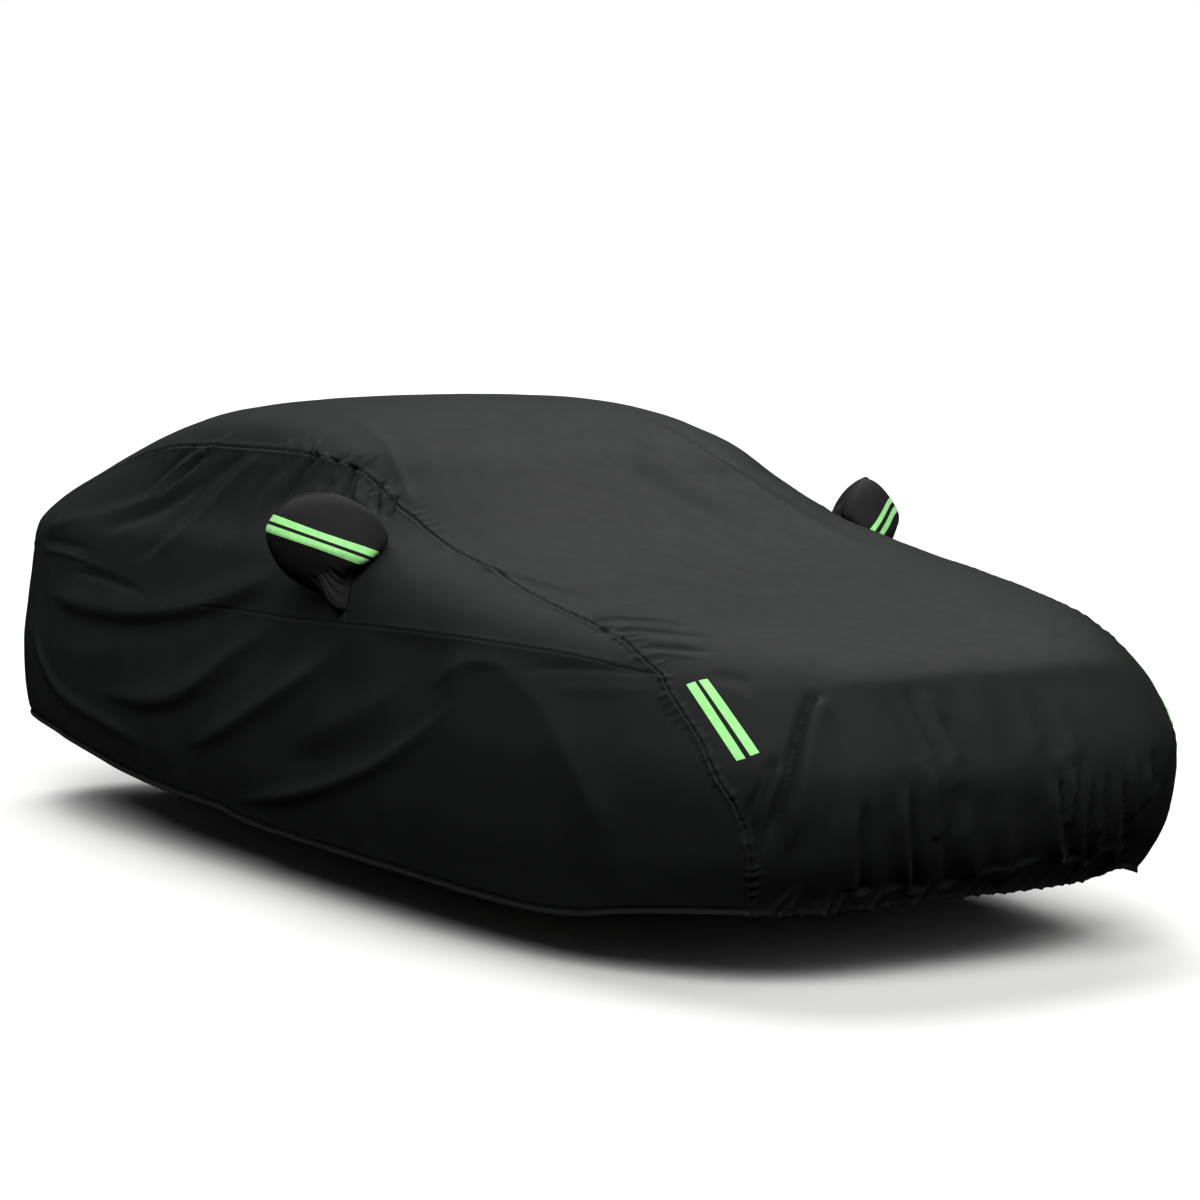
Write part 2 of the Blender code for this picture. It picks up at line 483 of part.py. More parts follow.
def build_top():
    """The long middle panel from the front hem over bonnet, screen and roof to the tail seam."""
    top = seam_lines()[0]
    line = np.vstack([top["front"], top["bonnet"][1:], top["door"][1:], top["rear"][1:]])
    y = side_point(line, 1)[:, 1]
    s = np.linspace(-1, 1, N_ACROSS + 1)
    station = np.arange(len(line))
    angle = np.radians(np.interp(station, [row[0] for row in TOP_THROW], [row[1] for row in TOP_THROW]))
    start = np.stack([np.broadcast_to(line[:, :1], (len(line), len(s))), y[:, None] * s,
                      np.broadcast_to(line[:, 1:], (len(line), len(s)))], -1)
    fall = np.clip(1 - station / 3, 0, 1)[:, None] * (1 - s ** 2)[None]
    start[..., 2] += 0.012 * fall + 0.006 * fall * s[None]
    aim = np.stack([np.cos(angle), 0 * angle, np.sin(angle)], -1)[:, None, :]
    base = throw(start, np.broadcast_to(aim, start.shape))
    base[:, 0], base[:, -1] = side_point(line, -1), side_point(line, 1)
    return panel("top_panel", base, ["bottom", "left", "right"])


def build_tail():
    line = spline(TAIL_SEAM, N_TAIL)
    y = side_point(line, 1)[:, 1]
    s = np.linspace(-1, 1, N_ACROSS + 1)
    start = np.stack([np.broadcast_to(line[:, :1], (len(line), len(s))), y[:, None] * s,
                      np.broadcast_to(line[:, 1:], (len(line), len(s)))], -1)
    base = throw(start, np.broadcast_to(np.array([-1.0, 0, 0]), start.shape))
    base[:, 0], base[:, -1] = side_point(line, -1), side_point(line, 1)
    return panel("tail_panel", base, ["top", "left", "right"])


for old in list(bpy.data.objects):
    bpy.data.objects.remove(old)

cover = build_top()
build_tail()
for side in (-1, 1):
    hand, rim = build_side(side)
    build_pocket(hand, rim, side)
    corner_tapes(hand, cover, side)
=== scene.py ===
"""A fitted car cover as it looks in use: sewn panels of thin cloth with their folds, puckers and rolled hem.

x runs forward from near the middle of its length and z up from the ground; every mesh is shifted so that
the origin is the mount under the roof cloth.
"""
import math
import bmesh
import bpy
import numpy as np
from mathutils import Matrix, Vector
from mathutils.bvhtree import BVHTree


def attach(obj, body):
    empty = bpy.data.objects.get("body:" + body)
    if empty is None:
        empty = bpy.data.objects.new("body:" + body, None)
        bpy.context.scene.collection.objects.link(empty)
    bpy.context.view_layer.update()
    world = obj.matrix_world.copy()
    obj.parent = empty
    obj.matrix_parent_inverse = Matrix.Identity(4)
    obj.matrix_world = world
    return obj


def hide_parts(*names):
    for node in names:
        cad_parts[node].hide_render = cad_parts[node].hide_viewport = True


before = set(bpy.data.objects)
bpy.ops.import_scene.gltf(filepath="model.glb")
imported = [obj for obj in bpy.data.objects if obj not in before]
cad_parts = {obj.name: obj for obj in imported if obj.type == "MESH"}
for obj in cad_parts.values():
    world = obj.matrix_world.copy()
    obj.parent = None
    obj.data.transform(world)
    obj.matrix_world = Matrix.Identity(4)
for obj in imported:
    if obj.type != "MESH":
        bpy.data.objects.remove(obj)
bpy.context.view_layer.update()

# ---- driving dimensions (metres) ----
CLOTH = 0.0013  # coated polyester, drawn a little thicker than it is
SEAM_CLEAR = 0.0001  # distance each panel keeps from a seam line
LIP, GROOVE = 0.0020, 0.0022  # the cloth swells beside a seam and sinks into it
HEMS = {"hem": 1.0, "flat hem": 0.35}  # kinds of hem, and how far each stands out
HEM_THICK = 0.0025  # the turned edge is this much thicker
HEM_PULL = 0.020  # the elastic lifts the hem this much at the far front corner
GATHERS = (-0.62, -0.38, 0.70)  # gathers of the front hem: from, close together up to, and to
NECK_PLEATS = 0.0050  # depth of the pleats round the neck of a mirror pocket
BAND_THICK = 0.0006  # reflective tape
TAPE_LIFT = 0.0006  # tape above the cloth
TAPE_HALF = 0.065  # half width of a pocket tape, radians round the middle of the pocket
TAPE_RISE = 0.16  # half height of the pocket that the tapes' planes are laid out on
POCKET_TAPE, CORNER_TAPE = (0.46, 0.021), (0.256, 0.022)  # length and width
MOUTH_HALF = 0.038  # half width of the opening under a mirror pocket
COLLAR = 0.012  # the pocket stands this far out of its opening
MOUTH_Z = (0.856, 1.062)  # lower and upper end of that opening
POCKET_CENTRE = (0.4457, 0.9284, 1.0407)
POCKET_HALF = (0.110, 0.1825, 0.1486)  # half depth, half length and half height
POCKET_TURN = (-0.270, -0.805)  # roll and sweep of the pocket, radians
POCKET_SEAM = (0.751, 0.689, -0.12)  # way across the seam between its front and back
SEAM_BACK = 0.008  # that seam lies this far behind the middle
POCKET_SQUARE = (2.05, 2.6, 0.45)  # squareness of its face and of its rim, and how sharp its ridge is
# planes of the pocket tapes: their tilts, how far their fronts lean up, and roll, radians
TAPE_PLANES = {-1: ((0.102, -0.090), 0.123, -0.310), 1: ((-0.188, -0.433), 0.711, -0.198)}
LEFT_TAPE_TURN = 0.10  # the left corner tapes sit this much further round, radians
ORIGIN = np.array([-0.45, 0, 1.44])  # the mount, from the middle of the length and from the ground
HAND = {-1: "right", 1: "left"}

# ---- how fine the meshes are ----
TOP_CELL, TAIL_CELL, SIDE_CELL = 0.043, 0.03, 0.025  # coarsest cells, halved up to three times at folds
TOP_EDGES = dict(left=0.0055, right=0.0055, top=0.0055, bottom=0.0108)
PLAIN_EDGE, FINE_EDGE = 0.006, 0.0035  # cells along door and belt seams, and along hems and the top seam
FOLD_CELLS, SMALLEST = 1.65, 0.0035  # cells in the half width of a fold, and their least size
BEND_CELL, BEND_REACH = 0.0075, 0.03  # cells beside a bend, and how far they go
COARSER = {-1: 1.1, 1: 1.8}  # the far side is coarser
EASE = 1.35  # rows of cells are drawn towards seams and hems by this power
POCKET_AROUND, POCKET_RINGS = 120, 72
SHARP = math.radians(62)  # edges sharper than this are not smoothed

# height, front end, rear end, half width, squareness of the front and of the rear corners
BODY = (
    (0.020, 2.080, -2.300, 0.900, 3.73, 4.45),
    (0.120, 2.140, -2.330, 0.925, 3.73, 4.45),
    (0.220, 2.210, -2.380, 0.948, 3.73, 4.50),
    (0.360, 2.317, -2.443, 0.973, 3.72, 4.60),
    (0.550, 2.371, -2.479, 0.974, 3.88, 4.59),
    (0.700, 2.289, -2.476, 0.954, 3.90, 4.59),
    (0.800, 2.158, -2.459, 0.938, 3.98, 4.61),
    (0.880, 1.919, -2.445, 0.922, 4.24, 4.63),
    (0.950, 1.559, -2.431, 0.902, 4.25, 4.64),
    (1.000, 1.275, -2.414, 0.882, 4.02, 4.37),
    (1.080, 0.939, -2.277, 0.828, 3.77, 4.19),
    (1.190, 0.667, -1.957, 0.775, 3.36, 3.80),
    (1.296, 0.417, -1.590, 0.725, 3.06, 3.46),
    (1.382, 0.065, -1.182, 0.623, 2.71, 3.15),
    (1.427, -0.202, -0.766, 0.408, 2.30, 2.66),
    (1.442, -0.452, -0.452, 0.001, 2.12, 2.41),
)


def line_of(text):
    """Points in metres from pairs of millimetres."""
    return np.array([pair.split(",") for pair in text.split()], float) / 1000


def table(text):
    """Folds from their rows: the numbers before the colon, then the line, which may run on, indented."""
    rows = [row.split(":") for row in text.strip().replace("\n ", " ").split("\n")]
    return [(*map(float, head.split()), line_of(points)) for head, points in rows]


# seams of one side as x, z in millimetres; the y of each point is found on the form. The top seam has four
# parts, each with the number of its stations
TOP_SEAM = (
    (7, line_of("""2082,197 2124,268 2160,337 2176,415 2174,487 2150,545 2094,630 2010,708 1912,789""")),
    (12, line_of("""1912,789 1836,822 1746,858 1617,889 1489,913 1246,957 1038,996 808,1038 639,1078
        524,1113 433,1140""")),
    (7, line_of("""433,1140 352,1170 253,1207 135,1243 17,1263 -96,1273 -223,1279 -390,1281""")),
    (13, line_of("""-390,1281 -688,1281 -852,1277 -1050,1268 -1350,1228 -1620,1165 -1850,1090 -2020,1020
        -2095,960 -2130,900""")),
)
TAIL_SEAM = line_of("""-2130,900 -2145,700 -2140,550 -2110,400 -2075,308""")
BELT_BACK = line_of("""-402,803 -180,811 150,812 400,817 560,822""")
BELT_FRONT = line_of("""560,822 800,828 1140,830 1437,824 1635,815 1780,801 1912,789""")
SLANT_SEAM = line_of("""433,1140 458,1070 474,980 502,910 534,860 560,822""")
DOOR_SEAM_HIGH = line_of("""-390,1281 -392,1159 -374,1078 -368,980 -398,854 -402,803""")
DOOR_SEAM_LOW = line_of("""-402,803 -385,700 -381,618 -376,497 -400,332 -410,197""")
HEM_REAR = line_of("""-410,197 -620,203 -814,212 -1021,227 -1237,252 -1371,267 -1549,285
    -1747,302 -2075,308""")
HEM_SIDE = line_of("""-410,197 -276,192 -56,171 136,167 495,162 823,159 1067,151 1209,146 1341,142 1473,140
    1638,148 1786,172 1946,190 2082,197""")
# direction in which the top panel is thrown outward from its seam: station, degrees above forward
TOP_THROW = ((0, 0), (7, 0), (8, 30), (9, 55), (10, 70), (12, 84), (16, 89), (24, 90), (31, 92), (35, 105),
             (37, 130), (38, 158), (39, 180))

# Main folds, in millimetres: height of the ridge (minus is a trough), half width to the left and to the
# right of the line as it runs, the hundredths of its length over which it rises and dies away, then the line
SIDE = table("""
-8.7 16 16 5 60: -875,1270 -968,1235 -1044,1188 -1112,1137 -1194,1079
7.2 14 14 5 60: -798,1266 -884,1231 -978,1180 -1042,1133 -1134,1085
-10.2 14 14 5 60: -743,1264 -825,1227 -907,1174 -987,1120 -1082,1064
-11.6 30 26 25 40: -607,1247 -706,1181 -816,1130 -942,1080 -1133,1030 -1439,970
8.7 26 30 20 40: -711,1246 -835,1179 -955,1127 -1130,1081 -1366,1039 -1628,993
-10.2 28 28 15 40: -468,1270 -587,1223 -673,1170 -743,1111 -789,1040 -872,964 -1049,900
8.7 28 28 15 40: -349,1261 -466,1208 -543,1144 -624,1079 -685,1009 -796,947 -932,882
-5.8 30 30 30 40: -245,1246 -306,1178 -345,1104 -363,1031 -416,944
7.2 30 30 30 40: -152,1249 -198,1188 -257,1126 -270,1054 -251,977
6 26 18 30 40: -1917,954 -1758,986 -1610,1007 -1437,1042
-7 16 20 20 50: -1925,926 -1678,930 -1465,925 -1237,915
5 10 10 20 40: -1905,892 -1636,895 -1405,886 -1211,865
-6 18 14 25 30: -1523,839 -1384,841 -1236,840 -1074,828 -919,816 -769,801
2 22 12 30 40: -1461,882 -1269,874 -1087,860 -913,842
-22.5 20 18 2 35: -63,1278 -93,1233 -133,1172 -166,1121 -183,1081
12 16 16 2 40: -6,1271 -35,1235 -70,1193 -93,1156
-13.5 12 12 2 40: 47,1261 43,1220 37,1185 40,1162
10.5 12 12 2 30: 87,1256 85,1221 91,1187
-27 15 16 2 20: 135,1246 144,1212 159,1177 181,1150
13.5 18 18 2 30: 199,1230 216,1197 250,1158 291,1131
-12 12 12 2 40: 288,1202 312,1171 346,1139 389,1112
9 10 10 2 40: 333,1186 359,1156 387,1129
-15 12 12 2 30: 390,1165 413,1135 442,1103
18 60 30 22 10: -1809,779 -1594,750 -1288,739 -984,745 -709,765 -420,804 -154,861 -22,902 101,945
-5 16 40 30 30: -1575,701 -1272,694 -969,701 -659,731 -372,774 -140,826 76,885
4 30 30 40 50: -1636,629 -1469,589 -1270,577 -1082,609 -929,657
18 52 26 35 30: -1208,474 -981,473 -761,481 -581,504 -418,548 -281,603 -145,671 3,734 169,805
-4 20 40 40 40: -883,434 -604,459 -342,524 -152,602 14,676 194,749
19 46 26 30 25: -500,360 -308,405 -111,471 67,537 231,602 382,664 490,727 574,790
12 50 40 40 40: 244,450 425,495 608,553 775,614 914,676 1024,739
-5 40 30 40 40: 5,355 280,398 538,450 777,515 939,586 1068,663
18 26 22 35 25: -247,224 55,268 330,319 563,376 765,436 935,501 1075,575 1176,641 1263,701
10 20 30 15 35: -1919,654 -1818,587 -1710,514 -1567,453 -1362,413 -1108,385 -861,356 -621,334
-6 14 14 30 15: 1462,764 1593,782 1725,791 1830,793 1903,788
4 16 16 40 30: 1576,728 1715,741 1839,748 1935,749
6 40 16 30 30: 1048,677 1136,724 1208,757 1284,776 1372,778 1464,759
""")
FRONT = table("""
-2.5 12 12 30 30: -592,780 -610,762 -625,744
-26 12 20 8 30: -460,763 -499,733 -535,691 -569,639 -595,581 -611,518 -617,462 -619,405 -622,346
15 28 20 12 30: -446,752 -496,704 -538,641 -566,569 -578,493 -583,411 -596,336
8 12 20 10 40: -489,753 -538,704 -579,646 -606,586
-17 16 14 20 25: -607,627 -628,595 -647,556 -659,516 -667,475 -663,424 -650,371
9 12 12 20 40: -598,609 -621,557 -636,502 -640,446 -636,388
-8 22 20 20 40: -439,752 -446,712 -459,653 -479,580 -492,507 -497,430 -503,352
-4 22 22 30 30: -395,737 -416,658 -443,578
12 130 34 10 25: -488,762 -375,763 -260,765 -136,768 -12,766 114,765 249,767 395,768 556,763 662,747
6 60 40 20 20: -450,555 -403,572 -343,579 -276,570 -189,552 -82,540 28,532 124,533
-11.4 23 23 15 12: -281,755 -274,718 -269,677 -267,635 -259,593
9.5 23 23 15 12: -259,754 -251,713 -246,667 -233,620 -214,585
-17.1 21 21 15 12: -229,757 -225,716 -221,674 -214,628 -196,584
13.3 27 23 15 12: -202,751 -193,710 -188,663 -174,616 -150,572
-11.4 23 27 15 12: -97,750 -110,710 -105,668 -82,629 -55,604
-9.5 23 23 15 12: -152,698 -149,657 -138,614 -118,579
9.5 27 27 15 12: -59,744 -59,702 -41,660 -25,616
-13.3 23 23 15 12: 39,730 48,692 54,649 58,602
9.5 23 23 15 12: 70,723 76,686 82,643 94,595
-15.2 23 23 15 12: 158,733 156,695 152,653 154,610 156,576
15.2 23 23 15 12: 189,731 188,684 195,636 203,592 199,553
-9.5 27 27 15 12: 28,681 -4,629 -14,582
-18 18 18 30 5: -420,519 -419,464 -408,401 -387,330 -338,242
12 24 21 30 5: -446,505 -431,402 -373,262
-10 28 28 30 5: -368,546 -349,449 -310,341 -255,246
14 18 18 30 5: -324,544 -307,447 -266,338 -208,248
-18 14 14 30 5: -301,557 -292,497 -271,418 -241,336 -178,233
12 18 18 30 5: -256,583 -240,534 -216,466 -188,391
-12 21 21 30 5: -237,548 -208,486 -176,411 -134,321 -83,241
-8 21 21 30 5: -165,543 -153,487 -132,407
12 24 24 30 5: -135,486 -97,378 -21,270
-8 42 42 30 5: -65,519 -30,399 25,277
14 28 28 30 5: -13,502 13,422 45,338 84,248
-10 35 35 30 5: 57,497 95,388 129,285
24 18 18 30 5: 127,548 142,491 167,423 201,352 249,290
-22 14 14 30 5: 160,556 171,489 195,407 255,301
22 14 14 30 5: 200,563 197,513 202,447 217,378
-16 14 14 30 5: 222,557 218,485 235,390 296,279
16 16 16 30 5: 254,569 253,482 277,372 344,256
-18 14 14 30 5: 269,528 278,454 308,353 370,253
12 18 18 30 5: 293,531 307,451 339,350
-14 18 18 30 5: 318,549 340,448 413,301
16 21 21 30 5: 354,541 372,445 415,341 491,247
-14 18 18 30 5: 388,544 409,441 508,287
14 16 16 30 5: 420,586 419,494 462,380
16 18 18 30 5: 469,531 512,429
-14 18 18 30 5: 506,573 550,451
""")
TOP = table("""
5 18 26 30 10: -312,-543 -102,-554 111,-583 277,-618 409,-655 497,-682
8 30 14 10 40: 972,-738 1085,-718 1236,-696 1396,-667 1527,-625 1608,-583
-10.5 40 40 35 40: 264,72 475,0 593,18 723,56 828,92 966,122 1164,109 1408,66
9 36 40 30 40: 219,149 457,102 597,126 721,165 852,205 1009,231 1219,224
-6 18 18 30 40: 241,200 408,185 511,209 571,242
13.5 40 40 30 30: -1,372 261,325 451,319 592,353 736,381 875,411 1076,429 1268,467
-9 26 24 30 30: -7,446 302,379 469,386 572,419
-6 12 12 30 30: 1078,-251 1223,-213 1385,-208 1536,-205
6 20 20 30 30: 1039,-194 1172,-147 1319,-128 1472,-117
-7.5 50 40 40 40: 1097,-552 1205,-459 1326,-375 1497,-294 1699,-239
-8 12 16 5 55: 1636,-760 1676,-740 1709,-701 1757,-662 1813,-622 1869,-583 1925,-530
8 26 12 5 50: 1592,-746 1617,-704 1669,-652 1734,-602 1817,-549
4 16 18 20 50: 1721,-738 1788,-696 1868,-642 1947,-574
-6 8 12 5 50: 1798,-761 1802,-741 1821,-711 1870,-673 1923,-633 1972,-582
4 12 12 10 50: 1836,-744 1855,-714 1909,-678 1970,-628
-5 20 30 30 30: 2000,-668 2050,-627 2111,-579
""")
# the far side, as x and z, and the tail, as y and z
FAR = table("""
18 50 26 22 12: -1850,800 -1500,748 -1150,735 -800,752 -430,800 -100,880 60,935
-5 18 36 30 30: -1500,700 -1100,690 -700,722 -350,778 -60,850
12 42 26 35 30: -1330,520 -1040,486 -760,492 -480,548 -220,640 60,770
9 34 28 30 25: -560,340 -280,392 20,486 280,600 470,720
9 26 22 35 25: 60,250 380,290 700,352 960,440 1180,590
6 46 40 40 40: 330,470 600,545 860,650 1010,735
-14 18 20 2 35: -90,1278 -130,1222 -178,1160 -205,1100
8 16 16 2 40: -20,1272 -55,1226 -92,1176
-15 15 15 2 20: 110,1250 126,1206 150,1160
8 18 18 2 30: 180,1236 204,1196 246,1152
-8 12 12 2 40: 300,1198 330,1160 372,1120
-8 28 28 15 40: -520,1270 -640,1200 -740,1118 -840,1020 -990,920
7 26 28 15 40: -640,1272 -780,1200 -920,1120 -1100,1050 -1350,985
-7 18 18 5 50: -800,1278 -920,1224 -1030,1156 -1160,1080
6 14 14 5 50: -880,1276 -990,1226 -1090,1160 -1200,1090
-7 22 20 25 40: -1560,850 -1300,848 -1060,832 -860,812
9 22 30 15 35: -2040,720 -1950,560 -1780,430 -1500,350
""")
TAIL = table("""
10 34 34 20 30: -560,840 -520,640 -540,420
-8 30 26 20 30: -430,860 -400,660 -430,430
12 40 34 20 30: -300,850 -250,600 -280,380
8 26 30 30 30: 60,840 40,600 90,380
-7 30 30 30 30: 190,860 220,640 200,400
11 36 34 20 30: 380,850 420,620 380,380
-8 26 26 20 30: 560,830 530,600 560,400
""")
# lines where the cloth bends over the edge of something under it, as x and z
BENDS = table("""
15 100 110 20 14: 1060,660 1160,712 1240,756 1340,769 1430,752 1570,697 1660,627 1740,551
    1800,452 1860,340
9 70 26 25 15: 620,830 900,832 1140,832 1437,826 1635,817 1780,803 1900,793
""")
# the cloth hangs out fuller round the far front corner, with a slight crease down it, as y and z
CORNER = table("""
72 150 150 80 26: 800,740 790,600 775,420 760,240 745,90
7 45 34 35 30: 640,500 655,570 666,640 674,715 676,785
""")

# Bunches of short puckers across the top seam: station where they start and end, how many, how far they lean
# forward for each length that they climb, then in millimetres their reach above and below the seam, their
# height and half width
PUCKERS = (
    (27.9, 28.9, 3, 0.40, 75, 90, 8.0, 10), (29.4, 31.2, 4, 0.45, 45, 70, 4.0, 10),
    (25.2, 27.4, 4, 0.20, 24, 30, 1.5, 8), (23.3, 24.9, 4, -0.15, 95, 60, 9.0, 9),
    (21.2, 22.7, 5, -0.05, 95, 60, 9.0, 8), (19.0, 20.9, 5, 0.10, 40, 60, 5.0, 9),
    (17.2, 18.9, 5, 0.50, 80, 22, 4.0, 9), (14.8, 16.9, 7, 0.50, 26, 18, 2.0, 7),
    (11.6, 13.6, 6, 0.55, 30, 18, 2.0, 7), (9.2, 11.3, 7, 0.60, 40, 24, 3.0, 9),
    (7.1, 9.2, 6, 0.60, 80, 50, 6.5, 10), (5.2, 7.0, 7, 0.35, 34, 46, 6.0, 8),
    (3.1, 5.2, 8, -0.25, 34, 30, 5.5, 8), (1.6, 3.0, 4, -0.30, 24, 20, 4.0, 7),
    (0.5, 1.6, 4, -0.50, 40, 24, 5.0, 8),
)


# ---- the form that the cloth lies over, and lines on it ----
def blend(a, b, c, d, f):
    """A smooth curve between b and c, f of the way along."""
    cubic = (3 * b - a - 3 * c + d) * f ** 3
    return 0.5 * (2 * b + (c - a) * f + (2 * a - 5 * b + 4 * c - d) * f ** 2 + cubic)


def curve_through(p, count):
    t = np.linspace(0, len(p) - 3, count)
    i = np.minimum(t.astype(int), len(p) - 4)
    return blend(p[i], p[i + 1], p[i + 2], p[i + 3], (t - i)[:, None])


def run_along(line):
    """Length of a line up to each of its points."""
    return np.concatenate([[0], np.cumsum(np.linalg.norm(np.diff(line, axis=0), axis=1))])


def even(line, count):
    """A line with its points spaced evenly, that many of them."""
    run = run_along(line)
    if run[-1] < 1e-6:
        return line
    at = np.linspace(0, run[-1], count)
    return np.stack([np.interp(at, run, line[:, k]) for k in range(line.shape[1])], 1)


def spline(p, count):
    """Points spaced evenly along a smooth curve through the given ones."""
    p = np.vstack([2 * p[0] - p[1], p, 2 * p[-1] - p[-2]])
    return even(curve_through(p, 60 * (len(p) - 3) + 1), count + 1)


def level_table():
    """The rows of BODY, made fine; a last row mirrors the one below the top, so the roof is flat there."""
    p = np.array(BODY)
    z, front, rear, half, kf, kr = p[-2]
    return curve_through(np.vstack([2 * p[0] - p[1], p, (z, rear, front, -half, kf, kr)]), 1600)


LEVELS = level_table()


def outside(p):
    """Above zero outside the form under the cloth, below it inside."""
    front, rear, half, kf, kr = (np.interp(p[..., 2], LEVELS[:, 0], LEVELS[:, k]) for k in range(1, 6))
    middle, reach = (front + rear) / 2, np.maximum((front - rear) / 2, 1e-4)
    k = np.where(p[..., 0] > middle, kf, kr)
    value = (np.abs((p[..., 0] - middle) / reach) ** k + np.abs(p[..., 1] / np.maximum(half, 1e-4)) ** k) - 1
    return np.where(p[..., 2] > LEVELS[-1, 0], 1 + 50 * (p[..., 2] - LEVELS[-1, 0]), value)


def throw(start, direction, reach=1.2):
    """Where lines from inside the form leave it."""
    near, far = np.zeros(start.shape[:-1]), np.full(start.shape[:-1], reach)
    for _ in range(30):
        half = (near + far) / 2
        inside = outside(start + half[..., None] * direction) < 0
        near, far = np.where(inside, half, near), np.where(inside, far, half)
    return start + near[..., None] * direction


def on_side(xz, side):
    """Points of one side, given by x and z."""
    start = np.stack([xz[..., 0], np.zeros(xz.shape[:-1]), xz[..., 1]], -1)
    return throw(start, np.array([0, side, 0.0]))


def on_end(yz, way):
    """Points of the front or the tail, given by y and z."""
    start = np.stack([np.full(yz.shape[:-1], 1.2 * way), yz[..., 0], yz[..., 1]], -1)
    return throw(start, np.array([way, 0, 0.0]), 1.5)


def on_top(xy):
    start = np.stack([xy[..., 0], xy[..., 1], np.full(xy.shape[:-1], 0.45)], -1)
    return throw(start, np.array([0, 0, 1.0]))


def slope(p):
    step = 0.003
    return np.stack([outside(p + step * e) - outside(p - step * e) for e in np.eye(3)], -1) / (2 * step)


def unit(v):
    return v / np.maximum(np.linalg.norm(v, axis=-1, keepdims=True), 1e-12)


def settle(p):
    """Points near the form, moved onto it."""
    for _ in range(4):
        g = slope(p)
        p = p - np.clip(outside(p) / (g * g).sum(-1), -0.02, 0.02)[..., None] * g
    return p


def turned(a, b, angle):
    """Two coordinates in axes turned by an angle."""
    return np.cos(angle) * a + np.sin(angle) * b, -np.sin(angle) * a + np.cos(angle) * b


def smooth(t):
    t = np.clip(t, 0, 1)
    return t * t * (3 - 2 * t)


def drawn_up(p):
    """The elastic pulls the hem up at the far front corner."""
    apart = np.linalg.norm(p[:, :2] - on_side(SEAM[:1], 1)[0, :2], axis=1)
    p = p.copy()
    p[:, 2] += HEM_PULL * np.exp(-(apart / 0.20) ** 2) * smooth((0.42 - p[:, 2]) / 0.24)
    return p


def sampled(line, at):
    """Points of a line, counted from its start, also between its own points."""
    return np.stack([np.interp(at, np.arange(len(line)), line[:, k]) for k in range(line.shape[1])], -1)


def on(line, t):
    """Points of an evenly spaced line at parts t of its length."""
    return sampled(line, t * (len(line) - 1))


def coons(top, bottom, left, right, u, v):
    """Points between four lines; top and bottom run left to right, left and right run downward."""
    u1, v1 = u[..., None], v[..., None]
    ruled = (1 - v1) * on(top, u) + v1 * on(bottom, u) + (1 - u1) * on(left, v) + u1 * on(right, v)
    corners = (1 - v1) * ((1 - u1) * top[0] + u1 * top[-1])
    return ruled - corners - v1 * ((1 - u1) * bottom[0] + u1 * bottom[-1])


FINE = 24  # points along a seam for each station


def top_seam():
    """The seam between the top panel and a side, as x and z, with FINE points to a station."""
    parts = [spline(line, n * FINE) for n, line in TOP_SEAM]
    return np.vstack([parts[0]] + [part[1:] for part in parts[1:]])


SEAM = top_seam()


def piece_of_seam(first, last):
    return SEAM[first * FINE:last * FINE + 1]


def slant_line():
    """The slanting seam down to the belt, evenly in height but for the pocket's mouth, and its opening."""
    line = spline(SLANT_SEAM, 300)
    v = np.linspace(0, 1, 401)
    z = np.interp(v, (0, 1 / 7, 6 / 7, 1), (SLANT_SEAM[0][1], MOUTH_Z[1], MOUTH_Z[0], SLANT_SEAM[-1][1]))
    part = np.clip((z - MOUTH_Z[0]) / (MOUTH_Z[1] - MOUTH_Z[0]), 0, 1)
    spread = MOUTH_HALF * np.sqrt(np.maximum(np.sin(np.pi * part), 0))
    return np.stack([np.interp(-z, -line[:, 1], line[:, 0]), z], 1), np.stack([spread, 0 * spread], 1)


# ---- folds: each is a line on the form with a rounded ridge or trough along it ----
class Fold:
    def __init__(self, height, left, right, rise, die, line):
        self.height, self.left, self.right = height, left, right
        self.rise, self.die, self.line = rise, die, line
        reach = 3 * max(left, right)
        self.low, self.high = line.min(0) - reach, line.max(0) + reach

    def near(self, p):
        return np.where(((p > self.low) & (p < self.high)).all(1))[0]

    def foot(self, q, n):
        """Distance from the line, the part of it passed, and whether the point is on its left."""
        a, b = self.line[:-1], self.line[1:]
        run = b - a
        t = np.clip(((q[:, None] - a) * run).sum(-1) / (run ** 2).sum(-1), 0, 1)
        apart = q[:, None] - (a + t[..., None] * run)
        away = np.linalg.norm(apart, axis=-1)
        best = away.argmin(1)
        rows = np.arange(len(q))
        left = (apart[rows, best] * np.cross(n, run[best])).sum(1) > 0
        return away[rows, best], (best + t[rows, best]) / len(a), left

    def strength(self, along):
        return smooth(along / self.rise) * smooth((1 - along) / self.die)

    def lift(self, q, n):
        """A rounded ridge with a slightly sharp crest, narrower towards its ends."""
        away, along, left = self.foot(q, n)
        fade = self.strength(along)
        part = away / (np.where(left, self.left, self.right) * (0.3 + 0.7 * np.sqrt(fade)))
        crest = np.exp(-1.3 * (np.sqrt(part ** 2 + 0.16) - 0.4)) * np.clip(1 - part / 2.6, 0, 1)
        return self.height * fade * (0.7 * np.exp(-part ** 2) + 0.3 * crest)


class Bend(Fold):
    """A line where the cloth bends over something hard: it falls away evenly on both sides."""
    def lift(self, q, n):
        away, along, left = self.foot(q, n)
        part = (np.sqrt(away ** 2 + 0.014 ** 2) - 0.014) / np.where(left, self.left, self.right)
        return self.height * self.strength(along) * np.exp(-part) * np.clip(1 - part / 3, 0, 1)


def folds_of(rows, place, made=Fold):
    found = []
    for height, left, right, rise, die, points in rows:
        line = place(spline(points, 3 * len(points)))
        found.append(made(height / 1000, left / 1000, right / 1000, rise / 100, die / 100, line))
    return found


